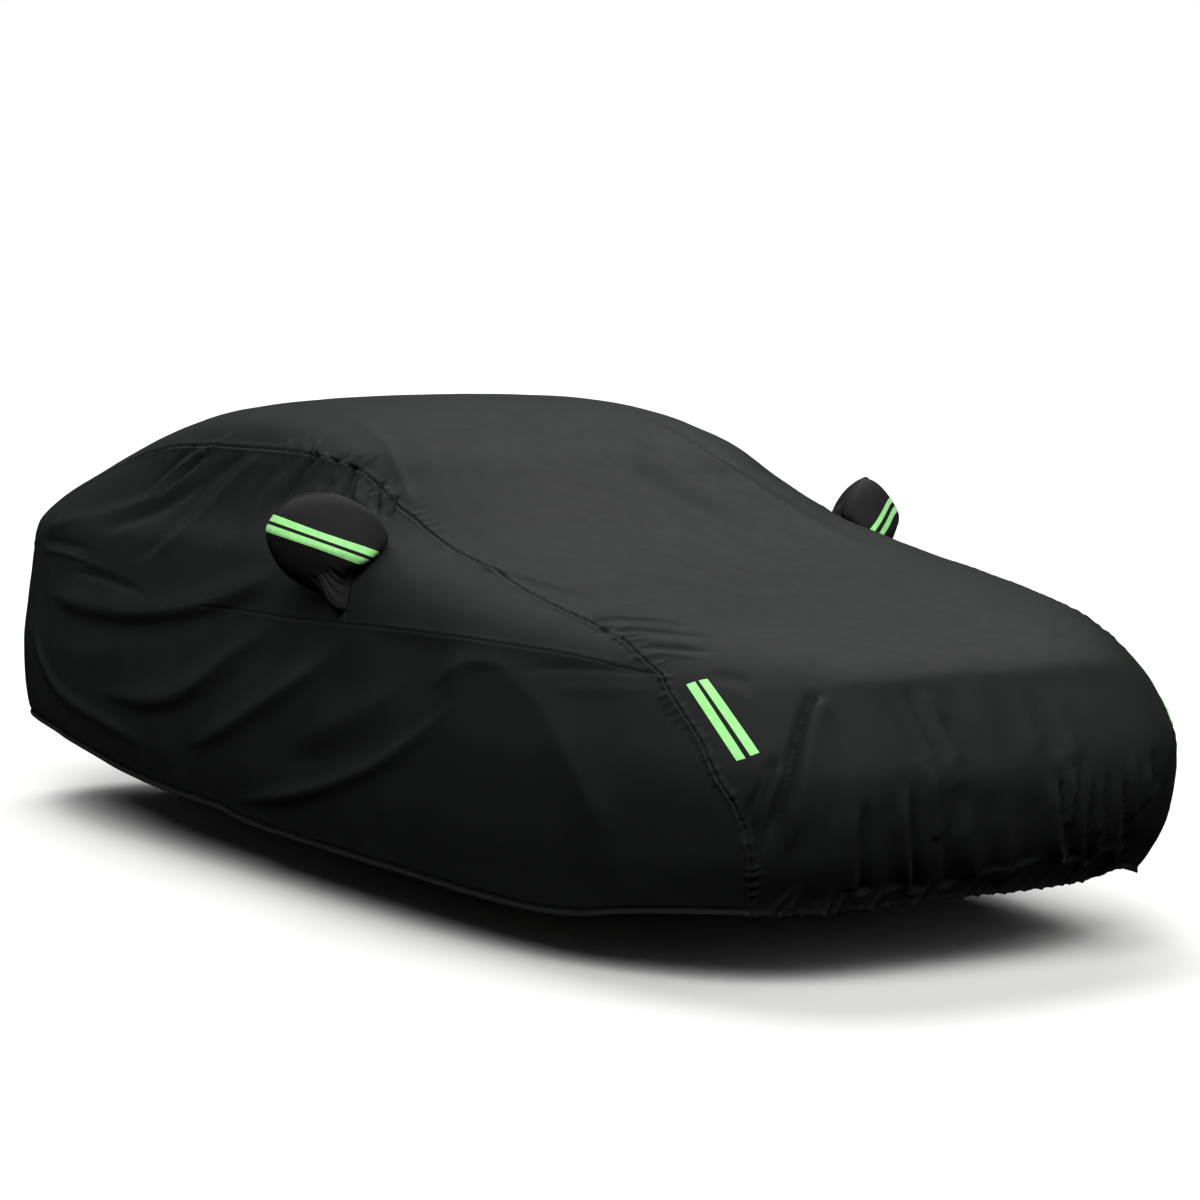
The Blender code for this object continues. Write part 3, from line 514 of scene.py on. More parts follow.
def seam_frame(station, side):
    """A point of the top seam, its run forward, and the way over the seam onto the top panel."""
    at = np.array([station, station - 0.1, station + 0.1]) * FINE
    p, ahead, behind = on_side(sampled(SEAM, at), side)
    forward, outward = unit(ahead - behind), unit(slope(p[None]))[0]
    return p, forward, unit(-side * np.cross(outward, forward))


def puckers(side, rng):
    found = []
    for first, last, count, lean, above, below, height, wide in PUCKERS:
        for k in range(count):
            station = first + (last - first) * (k + rng.uniform(0.25, 0.75)) / count
            p, forward, over = seam_frame(station, side)
            way = unit(over + (lean + rng.uniform(-0.25, 0.25)) * forward)
            reach = np.array([above, -below]) * rng.uniform(0.5, 1.2, 2) / 1000
            t = np.linspace(reach[1], reach[0], 9)[:, None]
            bend = rng.uniform(-1.5, 1.5) * t ** 2 * forward
            line = settle(p + t * way + bend)
            size = height * rng.uniform(0.55, 1.3) / 1000 * (1.0 if side < 0 else 0.6)
            w = wide * rng.uniform(0.75, 1.5) / 1000
            found.append(Fold(size, w, w * rng.uniform(0.6, 1.2), 0.5, 0.5, line))
    return found


def gathers(rng):
    """The elastic at the front hem draws the cloth into short upright puckers."""
    found = []
    y, close, end = GATHERS
    while y < end:
        y += rng.uniform(0.012, 0.032) if y < close else rng.uniform(0.016, 0.055)
        z = np.linspace(0.18, 0.205 + rng.uniform(0.02, 0.095), 5)
        lean = rng.uniform(-0.25, 0.35)
        line = on_end(spline(np.stack([y + lean * (z - z[0]), z], 1), 6), 1)
        w = rng.uniform(0.006, 0.013)
        found.append(Fold(rng.uniform(0.0040, 0.0110), w, w * rng.uniform(0.7, 1.3), 0.05, 0.75, line))
    return found


# ---- cloth ----
def from_edge(name, grid, u, v):
    """Distance in metres from one edge of a panel, for the shape of its seam or hem."""
    upright = name in ("left", "right")
    rows, along, across = (grid.swapaxes(0, 1), v, u) if upright else (grid, u, v)
    if name in ("bottom", "right"):
        rows, across = rows[::-1], 1 - across
    step = np.linalg.norm(rows[1] - rows[0], axis=-1)
    return across * (len(rows) - 1) * np.interp(along, np.linspace(0, 1, len(step)), step)


def sewn_profile(d):
    return LIP * np.exp(-((d - 0.008) / 0.006) ** 2) - GROOVE * np.exp(-(d / 0.0035) ** 2)


def hem_profile(d):
    """The turned edge with its elastic stands out as a roll, with a shallow valley over it."""
    return 0.0045 * np.exp(-((d - 0.003) / 0.006) ** 2) - 0.0025 * np.exp(-((d - 0.017) / 0.006) ** 2)


def ripples(rng, count, short, long, height):
    """Slight unevenness: waves in all directions, as functions of a point."""
    way = unit(rng.normal(size=(count, 3)))
    length = np.exp(rng.uniform(np.log(short), np.log(long), count))
    size = height * np.sqrt(2 / count) * length / long
    phase = rng.uniform(0, 2 * np.pi, count)

    def at(p):
        total = np.zeros(len(p))
        for k in range(count):
            total += size[k] * np.sin(2 * np.pi / length[k] * (p @ way[k]) + phase[k])
        return total
    return at


def balanced(level):
    """Levels raised until no cell is more than one level coarser than the next."""
    while True:
        grown = level.copy()
        grown[1:] = np.maximum(grown[1:], level[:-1] - 1)
        grown[:-1] = np.maximum(grown[:-1], level[1:] - 1)
        grown[:, 1:] = np.maximum(grown[:, 1:], level[:, :-1] - 1)
        grown[:, :-1] = np.maximum(grown[:, :-1], level[:, 1:] - 1)
        if (grown == level).all():
            return level
        level = grown


def tiling(level):
    """Points, faces and rim of a grid whose cells are split in 1, 2, 4 or 8 each way; points as eighths."""
    rows, columns = level.shape
    used = np.zeros((8 * rows + 1, 8 * columns + 1), bool)
    tiles = []
    for n in range(4):
        size = 8 >> n
        i, j = np.nonzero(level == n)
        down, right = (g.ravel() for g in np.meshgrid(np.arange(0, 8, size), np.arange(0, 8, size)))
        a, b = (8 * i[:, None] + down).ravel(), (8 * j[:, None] + right).ravel()
        for da, db in ((0, 0), (0, size), (size, 0), (size, size)):
            used[a + da, b + db] = True
        tiles.append((a, b, size))
    plain, fans = [], []
    for a, b, size in tiles:
        ring = [(a, b), (a, b + size), (a + size, b + size), (a + size, b)]
        split = np.zeros(len(a), bool)
        h = size // 2
        if h:
            middles = [(a, b + h), (a + h, b + size), (a + size, b + h), (a + h, b)]
            split = np.any([used[m] for m in middles], axis=0)
            for k in np.nonzero(split)[0]:
                points = [(m[0][k], m[1][k]) for pair in zip(ring, middles) for m in pair]
                fans.append(((a[k] + h, b[k] + h), [p for p in points if used[p]]))
        plain.append(np.stack([[r[0][~split], r[1][~split]] for r in ring]))
    for middle, _ in fans:
        used[middle] = True
    number = np.full(used.shape, -1)
    number[used] = np.arange(used.sum())
    faces = [number[tuple(corner)] for corner in np.concatenate(plain, axis=2)]
    faces = np.stack(faces, 1).tolist()
    for middle, points in fans:
        ring = [number[p] for p in points]
        faces += [(number[middle], ring[k], ring[(k + 1) % len(ring)]) for k in range(len(ring))]
    edges = (number[0], number[:, -1], number[-1, ::-1], number[::-1, 0])
    rim = np.concatenate([edge[edge >= 0][:-1] for edge in edges])
    i, j = np.nonzero(used)
    return i / (8 * rows), j / (8 * columns), faces, rim


def eased(t, cells):
    """Parts of a side with the rows beside each end drawn closer to it, since seams and hems are fine."""
    near, far = t * cells, (1 - t) * cells
    return np.where(near < 1, near ** EASE / cells, np.where(far < 1, 1 - far ** EASE / cells, t))


def wanted_size(points, size):
    """Cell size that the folds near each point ask for."""
    wanted = np.full(len(points), 9.0)
    n = unit(slope(points))
    for fold in FOLDS:
        near = np.where(((points > fold.low - size) & (points < fold.high + size)).all(1))[0]
        if len(near):
            away = fold.foot(points[near], n[near])[0] - size / 2
            wide, cell = (BEND_REACH, BEND_CELL) if isinstance(fold, Bend) else (
                1.7 * max(fold.left, fold.right), max(min(fold.left, fold.right) / FOLD_CELLS, SMALLEST))
            close = near[away < wide]
            wanted[close] = np.minimum(wanted[close], cell)
    return wanted


def piece(node_name, slot, outer, inner, faces, rim, outward, uv, fold):
    """A finished mesh object in place of a CAD node: two layers of the same faces joined round the rim.

    outward is the way that the first face has to look; uv and fold, the cloth coordinates and the height
    of the folds, are given for one layer."""
    ring = outer[list(faces[0])]
    if np.dot(np.cross(ring[1] - ring[0], ring[-1] - ring[0]), outward) < 0:
        faces, rim = [face[::-1] for face in faces], rim[::-1]
    count = len(outer)
    faces = faces + [[count + k for k in face[::-1]] for face in faces]
    faces += [(b, a, a + count, b + count) for a, b in zip(rim, np.roll(rim, -1))]
    uv, fold = np.vstack([uv, uv]), np.tile(fold, 2)
    name = node_name + ("_strip" if slot == "reflective_tape" else "_cloth")
    mesh = bpy.data.meshes.new(name)
    points = np.vstack([outer, inner]) - ORIGIN
    mesh.from_pydata(points.tolist(), [], [[int(k) for k in face] for face in faces])
    mesh.polygons.foreach_set("use_smooth", np.ones(len(mesh.polygons), bool))
    mesh.set_sharp_from_angle(angle=SHARP)
    corner = np.empty(len(mesh.loops), int)
    mesh.loops.foreach_get("vertex_index", corner)
    mesh.uv_layers.new(name="cloth").data.foreach_set("uv", uv[corner].ravel())
    mesh.attributes.new("fold", "FLOAT", "POINT").data.foreach_set("value", fold)
    made = placed(name, mesh)
    mesh.materials.append(MATERIALS[slot])
    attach(made, "root")
    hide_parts(node_name)
    return made


def cloth(name, place, length, height, cell, coarser, edges, fine):
    """One panel: cells as fine as its folds and edges ask, lifted by them, with its thickness inward.

    place turns parts of its width and height into points on the form; edges says how each of its four
    is finished; fine gives the cell size wanted along them."""
    rows, columns = max(round(height / cell), 2), max(round(length / cell), 2)
    grid_v, grid_u = np.meshgrid(np.linspace(0, 1, rows + 1), np.linspace(0, 1, columns + 1), indexing="ij")
    grid = place(grid_u, grid_v)
    middle = (grid[1:, 1:] + grid[:-1, :-1] + grid[1:, :-1] + grid[:-1, 1:]) / 4
    size = np.maximum(np.linalg.norm(grid[1:, 1:] - grid[:-1, 1:], axis=-1),
                      np.linalg.norm(grid[1:, 1:] - grid[1:, :-1], axis=-1))
    wanted = wanted_size(middle.reshape(-1, 3), cell).reshape(middle.shape[:2])
    rows_of = {"top": np.s_[0], "bottom": np.s_[-1], "left": np.s_[:, 0], "right": np.s_[:, -1]}
    for edge, asked in fine.items():
        wanted[rows_of[edge]] = np.minimum(wanted[rows_of[edge]], asked)
    if coarser is None:
        coarser = np.where(middle[..., 1] < -0.15, 1.15, 2.0)
    level = np.clip(np.ceil(np.log2(size / (wanted * coarser)) - 0.4), 0, 3).astype(int)
    v, u, faces, rim = tiling(balanced(level))
    u, v = eased(u, columns), eased(v, rows)
    base = drawn_up(place(u, v))
    n = unit(slope(base))
    lift = UNEVEN(base)
    for fold in FOLDS:
        near = fold.near(base)
        if len(near):
            lift[near] += fold.lift(base[near], n[near])
    folded = lift.copy()
    thick = np.full(len(base), CLOTH)
    for edge, strength in edges.items():
        d = from_edge(edge, grid, u, v)
        if strength in HEMS:
            lift += HEMS[strength] * hem_profile(d)
            thick += HEM_THICK * np.exp(-(d / 0.009) ** 4)
        else:
            lift += strength * sewn_profile(d)
    outer = base + n * lift[:, None]
    uv = np.stack([u * length, v * height], 1)
    made = piece(name, "cover_cloth", outer, outer - n * thick[:, None], faces, rim, n[faces[0][0]], uv,
                 folded * 100)
    # where a panel ends in a point its last rows fall together; they are merged
    work = bmesh.new()
    work.from_mesh(made.data)
    bmesh.ops.remove_doubles(work, verts=work.verts, dist=0.00015)
    bmesh.ops.dissolve_degenerate(work, edges=work.edges, dist=0.0001)
    work.to_mesh(made.data)
    work.free()
    return made


def side_cloth(side):
    """The four panels of one side; side is -1 for the right and 1 for the left."""
    slant, spread = slant_line()
    door_high, door_low = spline(DOOR_SEAM_HIGH, 240), spline(DOOR_SEAM_LOW, 240)
    belt_back, belt_front = spline(BELT_BACK, 400), spline(BELT_FRONT, 560)
    panels = {
        "window_panel": (piece_of_seam(19, 26)[::-1], belt_back, door_high, slant - spread, 0.86, 0.42,
                         dict(top=1, bottom=0.5, left=0.45, right=0.6)),
        "fender_panel": (piece_of_seam(7, 19)[::-1], belt_front, slant + spread,
                         np.repeat(belt_front[-1:], 401, 0), 1.45, 0.30,
                         dict(top=1, bottom=0.6, left=0.6)),
        "lower_side_panel": (np.vstack([belt_back, belt_front[1:]]), spline(HEM_SIDE, 960), door_low,
                             piece_of_seam(0, 7)[::-1], 2.45, 0.66,
                             dict(top=0.55, bottom="hem", left=0.45, right=1)),
        "rear_side_panel": (piece_of_seam(26, 39)[::-1], spline(HEM_REAR, 600)[::-1], spline(TAIL_SEAM, 240),
                            np.vstack([door_high, door_low[1:]]), 1.85, 0.95,
                            dict(top=1, bottom="hem", left=0.8, right=0.45)),
    }
    for name, (top, bottom, left, right, length, height, edges) in panels.items():
        lines = [even(line, len(line)) for line in (top, bottom, left, right)]
        reach = dict(left=length, right=length, top=height, bottom=height)
        keep = [SEAM_CLEAR * (edges.get(edge, "hem") not in HEMS) / reach[edge] for edge in reach]

        def place(u, v, lines=lines, keep=keep):
            u = keep[0] + u * (1 - keep[0] - keep[1])
            v = keep[2] + v * (1 - keep[2] - keep[3])
            return on_side(coons(*lines, u, v), side)

        top_seam_edge = {"lower_side_panel": "right"}.get(name, "top")
        fine = {edge: FINE_EDGE if edge == top_seam_edge or strength in HEMS else PLAIN_EDGE
                for edge, strength in edges.items()}
        cloth(f"{name}_{HAND[side]}", place, length, height, SIDE_CELL, COARSER[side], edges, fine)


def top_cloth():
    """The long middle panel from the front hem over bonnet, screen and roof to the tail seam."""
    line = on_side(SEAM, 1)
    stops, angles = np.array(TOP_THROW).T
    run = run_along(SEAM)

    def place(u, v):
        at = np.interp(v * run[-1], run, np.arange(len(SEAM)))
        s = (2 * u - 1) * (1 - SEAM_CLEAR / 0.8)
        x, y, z = np.moveaxis(sampled(line, at), -1, 0)
        fall = np.clip(1 - at / FINE / 3, 0, 1) * (1 - s ** 2)
        start = np.stack([x, y * s, z + 0.012 * fall + 0.006 * fall * s], -1)
        angle = np.radians(np.interp(at / FINE, stops, angles))
        return throw(start, np.stack([np.cos(angle), 0 * angle, np.sin(angle)], -1))

    return cloth("top_panel", place, 1.95, 5.75, TOP_CELL, None,
                 dict(left=1, right=1, top="flat hem", bottom=0.8), TOP_EDGES)


def tail_cloth():
    line = on_side(spline(TAIL_SEAM, 400), 1)

    def place(u, v):
        s = (2 * u - 1) * (1 - SEAM_CLEAR / 0.8)
        v = SEAM_CLEAR / 0.6 + v * (1 - SEAM_CLEAR / 0.6)
        x, y, z = np.moveaxis(on(line, v), -1, 0)
        return throw(np.stack([x, y * s, z], -1), np.array([-1.0, 0, 0]))

    return cloth("tail_panel", place, 1.95, 0.6, TAIL_CELL, 1.6,
                 dict(left=0.8, right=0.8, top=0.8, bottom="hem"), dict.fromkeys(TOP_EDGES, PLAIN_EDGE))


# ---- mirror pockets and tapes ----
def pocket_reach(direction, side):
    """Distance from the middle of a mirror pocket to its cloth, for unit directions."""
    roll, sweep = POCKET_TURN
    x, y, z = direction[..., 0], direction[..., 1] * -side, direction[..., 2]
    x, y = turned(x, y, sweep)
    y, z = turned(y, z, roll)
    square, rim, ridge = POCKET_SQUARE
    depth, y, z = (np.abs(part) / half for part, half in zip((x, y, z), POCKET_HALF))
    return ((depth + ridge * z) ** rim + (y ** square + z ** square) ** (rim / square)) ** (-1 / rim)


def pocket_cloth(side):
    """A mirror pocket: a bag that starts inside the rim of the opening between two panels."""
    centre = np.array(POCKET_CENTRE) * np.array([1, side, 1])
    slant, spread = slant_line()
    rows = np.linspace(1 / 7, 6 / 7, POCKET_AROUND // 2 + 1)[:-1]
    back = on(slant - spread, rows)
    front = on(slant + spread, rows + rows[1] - rows[0])
    rim = on_side(np.vstack([back, front[::-1]]), side)
    n = unit(slope(rim))
    for fold in FOLDS:
        near = fold.near(rim)
        if len(near):
            rim[near] += n[near] * fold.lift(rim[near], n[near])[:, None]
    inward = unit(rim.mean(0) - rim)
    rim = rim + inward * 2 * SEAM_CLEAR
    collar = rim + n * COLLAR + inward * COLLAR / 3
    first = unit(collar - centre)
    reach = np.linalg.norm(collar - centre, axis=1)
    tip = unit(-first.mean(0))
    angle = np.arccos(np.clip(first @ tip, -1, 1))[:, None]
    turn = np.linspace(0, 1, POCKET_RINGS)[:, None, None]
    way = (np.sin((1 - turn) * angle) * first + np.sin(turn * angle) * tip) / np.sin(angle)
    full = smooth(turn[..., 0] / 0.20)
    far = (1 - full) * reach + full * pocket_reach(way, side)
    rng = np.random.default_rng(40 + side)
    around = np.linspace(0, 2 * np.pi, POCKET_AROUND, endpoint=False)
    neck = sum(rng.uniform(0.3, 1) * np.sin(k * around + rng.uniform(0, 6.3)) for k in (9, 13, 17, 22))
    far = far + NECK_PLEATS * neck * np.exp(-((turn[..., 0] - 0.10) / 0.10) ** 2)
    outer = centre + way * far[..., None]
    beside = np.abs(on_side(outer[..., [0, 2]], side)[..., 1]) + COLLAR
    outer[1:, :, 1] = side * np.maximum(np.abs(outer[1:, :, 1]), beside[1:])
    outer = np.concatenate([rim[None], outer])
    facing = unit(np.cross(np.gradient(outer, axis=0), np.roll(outer, -1, 1) - np.roll(outer, 1, 1)))
    facing[-1] = tip
    away = outer - centre
    away[:2] = outer[:2] - rim.mean(0)
    facing *= np.sign((facing * away).sum(-1, keepdims=True))
    # the seam that joins its front to its back
    across = (outer - centre) @ unit(np.array(POCKET_SEAM) * np.array([1, side, 1])) + SEAM_BACK
    rise = smooth((np.linspace(0, 1, POCKET_RINGS + 1)[:, None] - 0.12) / 0.1)
    swell, groove = np.exp(-((across + 0.007) / 0.005) ** 2), np.exp(-(across / 0.0035) ** 2)
    lift = rise * (GROOVE * swell - GROOVE * groove)
    lift += rise * 1.2 * UNEVEN(outer.reshape(-1, 3) * 1.6).reshape(lift.shape)
    outer = outer + facing * lift[..., None]
    rings, columns = outer.shape[:2]
    at = np.arange(rings * columns).reshape(rings, columns)
    nxt = np.roll(at, -1, 1)
    faces = np.stack([at[:-2], nxt[:-2], nxt[1:-1], at[1:-1]], -1).reshape(-1, 4).tolist()
    end = int(at[-1, 0])
    faces += [(int(at[-2, j]), int(nxt[-2, j]), end) for j in range(columns)]
    flat = outer.reshape(-1, 3)[:end + 1]
    facing = facing.reshape(-1, 3)[:end + 1]
    uv = grid_of(np.arange(rings) * 0.4 / rings, np.arange(columns) * 0.7 / columns)[:end + 1]
    made = piece(f"mirror_pocket_{HAND[side]}", "pocket_cloth", flat, flat - facing * CLOTH, faces, at[0],
                 facing[0], uv, lift.ravel()[:end + 1] * 100)
    return made, centre


def grid_of(down, across):
    """All pairs of two rows of numbers, the second one running fastest."""
    return np.stack(np.meshgrid(down, across, indexing="ij"), -1).reshape(-1, 2)


def tape(name, made, starts, aims, size):
    """A strip of tape: lines thrown onto the cloth, stopped short of it by the tape's clearance."""
    made.data.calc_loop_triangles()
    tree = BVHTree.FromPolygons([v.co.copy() for v in made.data.vertices],
                                [tuple(t.vertices) for t in made.data.loop_triangles])
    rows, columns = starts.shape[:2]
    layers = []
    for lift in (TAPE_LIFT + BAND_THICK, TAPE_LIFT):
        points = np.zeros_like(starts)
        for i in np.ndindex(rows, columns):
            start, aim = Vector(starts[i] - ORIGIN), Vector(aims[i])
            run = tree.ray_cast(start, aim)[3]
            points[i] = np.array(start + aim * (run - lift)) + ORIGIN
        layers.append(points.reshape(-1, 3))
    at = np.arange(rows * columns).reshape(rows, columns)
    faces = np.stack([at[:-1, :-1], at[:-1, 1:], at[1:, 1:], at[1:, :-1]], -1).reshape(-1, 4).tolist()
    rim = np.concatenate([at[0, :-1], at[:-1, -1], at[-1, :0:-1], at[:0:-1, 0]])
    uv = grid_of(np.linspace(0, size[1], rows), np.linspace(0, size[0], columns))[:, ::-1]
    strip = piece(name, "reflective_tape", *layers, faces, rim, -aims[0, 0], uv, np.zeros(rows * columns))


def pocket_tapes(made, centre, side):
    """Two tapes across the front of a mirror pocket, in planes through its middle tilted with it."""
    tilts, lean, roll = TAPE_PLANES[side]
    sweep = POCKET_TURN[1]
    for number, tilt in enumerate(tilts, 1):
        turn = np.radians(np.linspace(-100, 76, 100))[None, :]
        rise = np.linspace(tilt + TAPE_HALF, tilt - TAPE_HALF, 7)[:, None] + lean * np.cos(turn)
        x, y, z = np.cos(turn) * np.cos(rise), np.sin(turn) * np.cos(rise), np.sin(rise)
        y, z = turned(y * POCKET_HALF[1], z * TAPE_RISE, -roll)
        x, y = turned(x * POCKET_HALF[0], y, -sweep)
        way = unit(np.stack([x, -side * y, z], -1))
        tape(f"pocket_tape_{number}_{HAND[side]}", made, centre + way * 0.5, -way, POCKET_TAPE)


HEART = (1.75, 0.35, 0.45)  # point inside the front corner that its tapes are thrown from
# corners of the two tapes beside the front corner: x, y, z of the lower and upper ends
CORNER_TAPES = (
    (((2.172, -0.687, 0.598), (2.185, -0.669, 0.604)), ((1.985, -0.712, 0.768), (1.998, -0.695, 0.776))),
    (((2.192, -0.660, 0.610), (2.204, -0.642, 0.618)), ((2.003, -0.688, 0.779), (2.016, -0.671, 0.784))),
)


def corner_tapes(cover, side):
    bend = LEFT_TAPE_TURN if side > 0 else 0
    turn = np.array([[np.cos(bend), np.sin(bend), 0], [-np.sin(bend), np.cos(bend), 0], [0, 0, 1]])
    for number, (low, high) in enumerate(CORNER_TAPES, 1):
        low, high = np.array(low), np.array(high)
        t = np.linspace(0, 1, 80)[None, :, None]
        w = np.linspace(0, 1, 7)[:, None, None]
        flat = (1 - t) * ((1 - w) * low[0] + w * low[1]) + t * ((1 - w) * high[0] + w * high[1])
        flat = flat * np.array([1, -side, 1])
        heart = np.array(HEART) * np.array([1, side, 1])
        base = throw(np.broadcast_to(heart, flat.shape), unit((flat - heart) @ turn))
        n = unit(slope(base))
        tape(f"corner_tape_{number}_{HAND[side]}", cover, base + n * 0.1, -n, CORNER_TAPE)


# ---- materials ----
def linear(code):
    """An sRGB hex colour in linear light, with alpha."""
    parts = [int(code[k:k + 2], 16) / 255 for k in (1, 3, 5)]
    return tuple(p / 12.92 if p <= 0.04045 else ((p + 0.055) / 1.055) ** 2.4 for p in parts) + (1.0,)


def node(tree, kind, settings=None, **links):
    """One node; settings are its properties or socket values, links its inputs from other sockets."""
    made = tree.nodes.new(kind)
    for key, value in (settings or {}).items():
        if hasattr(made, key):
            setattr(made, key, value)
        else:
            made.inputs[int(key[1:]) if key[1:].isdigit() else key].default_value = value
    for key, socket in links.items():
        tree.links.new(socket, made.inputs[int(key[1:]) if key[1:].isdigit() else key.replace("_", " ")])
    return made


def placed(name, data):
    """A new object for some data, in the scene."""
    made = bpy.data.objects.new(name, data)
    bpy.context.scene.collection.objects.link(made)
    return made


def new_material(name):
    made = bpy.data.materials.new(name)
    made.use_nodes = True
    return made, made.node_tree, made.node_tree.nodes["Principled BSDF"]


def noise(tree, where, scale, detail, roughness=0.5):
    return node(tree, "ShaderNodeTexNoise", {"Scale": scale, "Detail": detail, "Roughness": roughness},
                Vector=where).outputs["Fac"]


def bands(tree, where, way, apart, **settings):
    """Bands across one way of the cloth, that far apart."""
    settings = {"bands_direction": way, "Scale": math.pi / 10 / apart, **settings}
    return node(tree, "ShaderNodeTexWave", settings, Vector=where).outputs["Fac"]


def scaled(tree, value, factor, more):
    """value times factor, and more."""
    settings = {"operation": "MULTIPLY_ADD", "_1": factor}
    return node(tree, "ShaderNodeMath", settings, _0=value, _2=more).outputs[0]


def ranged(tree, value, low, high, start=0.0, end=1.0):
    settings = {"From Min": low, "From Max": high, "To Min": start, "To Max": end}
    return node(tree, "ShaderNodeMapRange", settings, Value=value).outputs[0]


def coloured(tree, shader, part, low, high):
    """Base colour between two hex colours."""
    settings = {"data_type": "RGBA", "_6": linear(low), "_7": linear(high)}
    mixed = node(tree, "ShaderNodeMix", settings, _0=part)
    tree.links.new(mixed.outputs[2], shader.inputs["Base Color"])


def embossed(tree, shader, height, strength, distance):
    bump = node(tree, "ShaderNodeBump", {"Strength": strength, "Distance": distance}, Height=height)
    tree.links.new(bump.outputs[0], shader.inputs["Normal"])


def coated_polyester(name, base, dust_and_ridge_light):
    """Black plain-woven polyester with a thin coating: the eye gets a soft dull surface with hardly a
    shine, a close weave near to, and slight clouding from dust; fold troughs get painted shade and fold
    ridges painted light."""
    made, tree, shader = new_material(name)
    where = node(tree, "ShaderNodeTexCoord").outputs["Object"]
    fold = node(tree, "ShaderNodeAttribute", {"attribute_name": "fold"}).outputs["Fac"]
    clouds, rubbed = noise(tree, where, 2.6, 4.0, 0.55), noise(tree, where, 26.0, 5.0, 0.6)
    # fold heights paint shade into the troughs and light onto the ridges; the two noises are dust clouding
    # and rubbed patches
    dust_and_fold_shading = scaled(tree, fold, 0.12, scaled(tree, rubbed, 0.5, clouds))
    coloured(tree, shader, ranged(tree, dust_and_fold_shading, 0.45, 1.05), base, dust_and_ridge_light)
    tree.links.new(ranged(tree, rubbed, 0.3, 0.7, 0.46, 0.56), shader.inputs["Roughness"])
    shader.inputs["Specular IOR Level"].default_value = 0.03
    # threads lie 0.3 mm apart, too fine to show, so warp and weft are drawn 1.6 mm apart
    cloth_uv = node(tree, "ShaderNodeUVMap", {"uv_map": "cloth"}).outputs[0]
    warp, weft = (bands(tree, cloth_uv, way, 0.0016, Distortion=0.6, Detail=1.0) for way in "XY")
    weave = node(tree, "ShaderNodeMath", {"operation": "MULTIPLY"}, _0=warp, _1=weft).outputs[0]
    embossed(tree, shader, weave, 0.25, 0.0003)
    return made


def woven_tape(name, light, deep):
    """Nylon tape woven with bright green yarn: a clean even colour with fine lengthwise ribs and a sheen."""
    made, tree, shader = new_material(name)
    cloth_uv = node(tree, "ShaderNodeUVMap", {"uv_map": "cloth"}).outputs[0]
    # ribs of the real tape are 0.8 mm apart, too fine to show; drawn at 2.4 mm
    ribs = bands(tree, cloth_uv, "Y", 0.0024, Distortion=0.3)
    tone = scaled(tree, ribs, 0.35, noise(tree, cloth_uv, 60.0, 3.0))
    coloured(tree, shader, ranged(tree, tone, 0.4, 0.9), deep, light)
    shader.inputs["Roughness"].default_value = 0.42
    shader.inputs["Sheen Weight"].default_value = 0.3
    embossed(tree, shader, ribs, 0.4, 0.0004)
    return made


# each cloth's second colour stands for dust, and for painted light on fold ridges
MATERIALS = {
    "cover_cloth": coated_polyester("coated_polyester_plain_weave", "#222323", "#262727"),
    "pocket_cloth": coated_polyester("coated_polyester_pocket", "#222222", "#262626"),
    "reflective_tape": woven_tape("woven_green_tape", "#B4FF9A", "#8BEF8C"),
}


# ---- the object ----
UNEVEN = ripples(np.random.default_rng(3), 26, 0.08, 0.34, 0.0011)
FOLDS = []
for side, rows in ((-1, SIDE), (1, FAR)):
    for more, kind in ((rows, Fold), (BENDS, Bend)):
        FOLDS += folds_of(more, lambda xz, side=side: on_side(xz, side), kind)
    FOLDS += puckers(side, np.random.default_rng(11 + side))
for rows, place in ((FRONT, lambda yz: on_end(yz, 1)), (TOP, on_top), (TAIL, lambda yz: on_end(yz, -1)),
                    (CORNER, lambda yz: on_end(yz, 1))):
    FOLDS += folds_of(rows, place)
FOLDS += gathers(np.random.default_rng(5))

cover = top_cloth()
tail_panel = tail_cloth()
for side in (-1, 1):
    side_cloth(side)
    pocket, centre = pocket_cloth(side)
    pocket_tapes(pocket, centre, side)
    corner_tapes(cover, side)


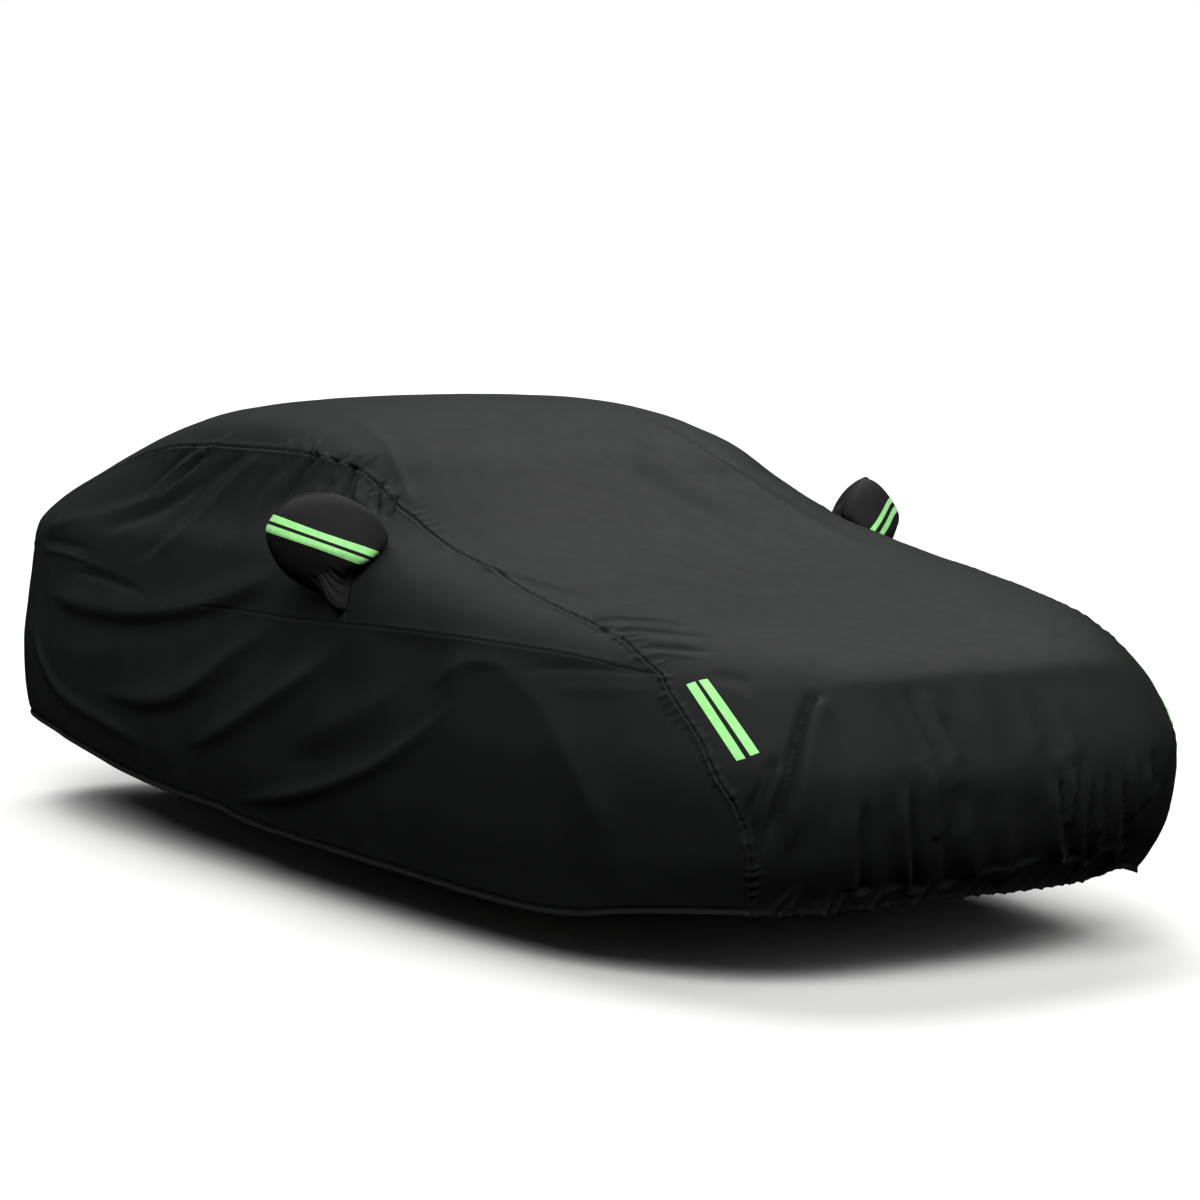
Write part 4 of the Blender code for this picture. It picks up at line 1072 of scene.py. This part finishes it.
# ---- floor, light and camera ----
def stage():
    """A plain pale floor that runs out to the horizon."""
    mesh = bpy.data.meshes.new("floor")
    turn = np.linspace(0, 2 * np.pi, 64, endpoint=False)
    ring = np.stack([np.cos(turn), np.sin(turn), 0 * turn], 1)
    points = np.vstack([ring * 8, ring * 400]) + np.array([0, 0, -ORIGIN[2] - 0.002])
    faces = [tuple(range(64))] + [(64 + k, 64 + (k + 1) % 64, (k + 1) % 64, k) for k in range(64)]
    mesh.from_pydata(points.tolist(), [], faces)
    floor = placed("floor", mesh)
    made, tree, shader = new_material("painted_floor")
    shader.inputs["Base Color"].default_value = linear("#F2F2F1")
    shader.inputs["Roughness"].default_value = 0.9
    shader.inputs["Specular IOR Level"].default_value = 0.0
    mesh.materials.append(made)
    floor.visible_diffuse = False
    floor.visible_glossy = False


def aimed(made, azimuth, height, axis):
    """The object turned so that one of its axes points that way, in degrees."""
    a, h = math.radians(azimuth), math.radians(height)
    toward = Vector((math.cos(h) * math.cos(a), math.cos(h) * math.sin(a), math.sin(h)))
    made.rotation_euler = toward.to_track_quat(axis, "Y").to_euler()


def sun(azimuth, height, strength):
    """A broad even light from one part of the sky."""
    data = bpy.data.lights.new(f"panel_{azimuth}_{height}", "SUN")
    data.energy, data.angle = LIGHT * math.pi * strength, math.radians(LIGHT_SPREAD)
    aimed(placed(data.name, data), azimuth, height, "Z")


def camera():
    """The view of the picture: a long lens, low down, in front and to the right of the cover."""
    data = bpy.data.cameras.new("camera")
    data.lens, data.sensor_width, data.clip_end = 98.93, 36.0, 900.0
    made = placed("camera", data)
    made.location = (9.263, -5.097, 0.198)
    aimed(made, 148.805, -4.641, "-Z")
    bpy.context.scene.camera = made


LIGHT, LIGHT_SPREAD = 1.10, 34  # overall strength, and how wide each light is in degrees
# lights round the object: azimuth and height in degrees, and strength
PANELS = ((180, 68, 0.38), (0, 45, 0.26), (45, 45, 0.13), (135, 45, 0.24), (180, 45, 0.13), (315, 45, 0.56),
          (0, 22, 0.10), (270, 22, 0.016))

stage()
for azimuth, height, strength in PANELS:
    sun(azimuth, height, strength)
world = bpy.data.worlds.new("studio")
bpy.context.scene.world = world
world.use_nodes = True
world.node_tree.nodes["Background"].inputs["Color"].default_value = (1, 1, 1, 1)
world.node_tree.nodes["Background"].inputs["Strength"].default_value = 1.0
world.cycles_visibility.diffuse = False
world.cycles_visibility.glossy = False
camera()
bpy.context.scene.view_settings.view_transform = "Standard"
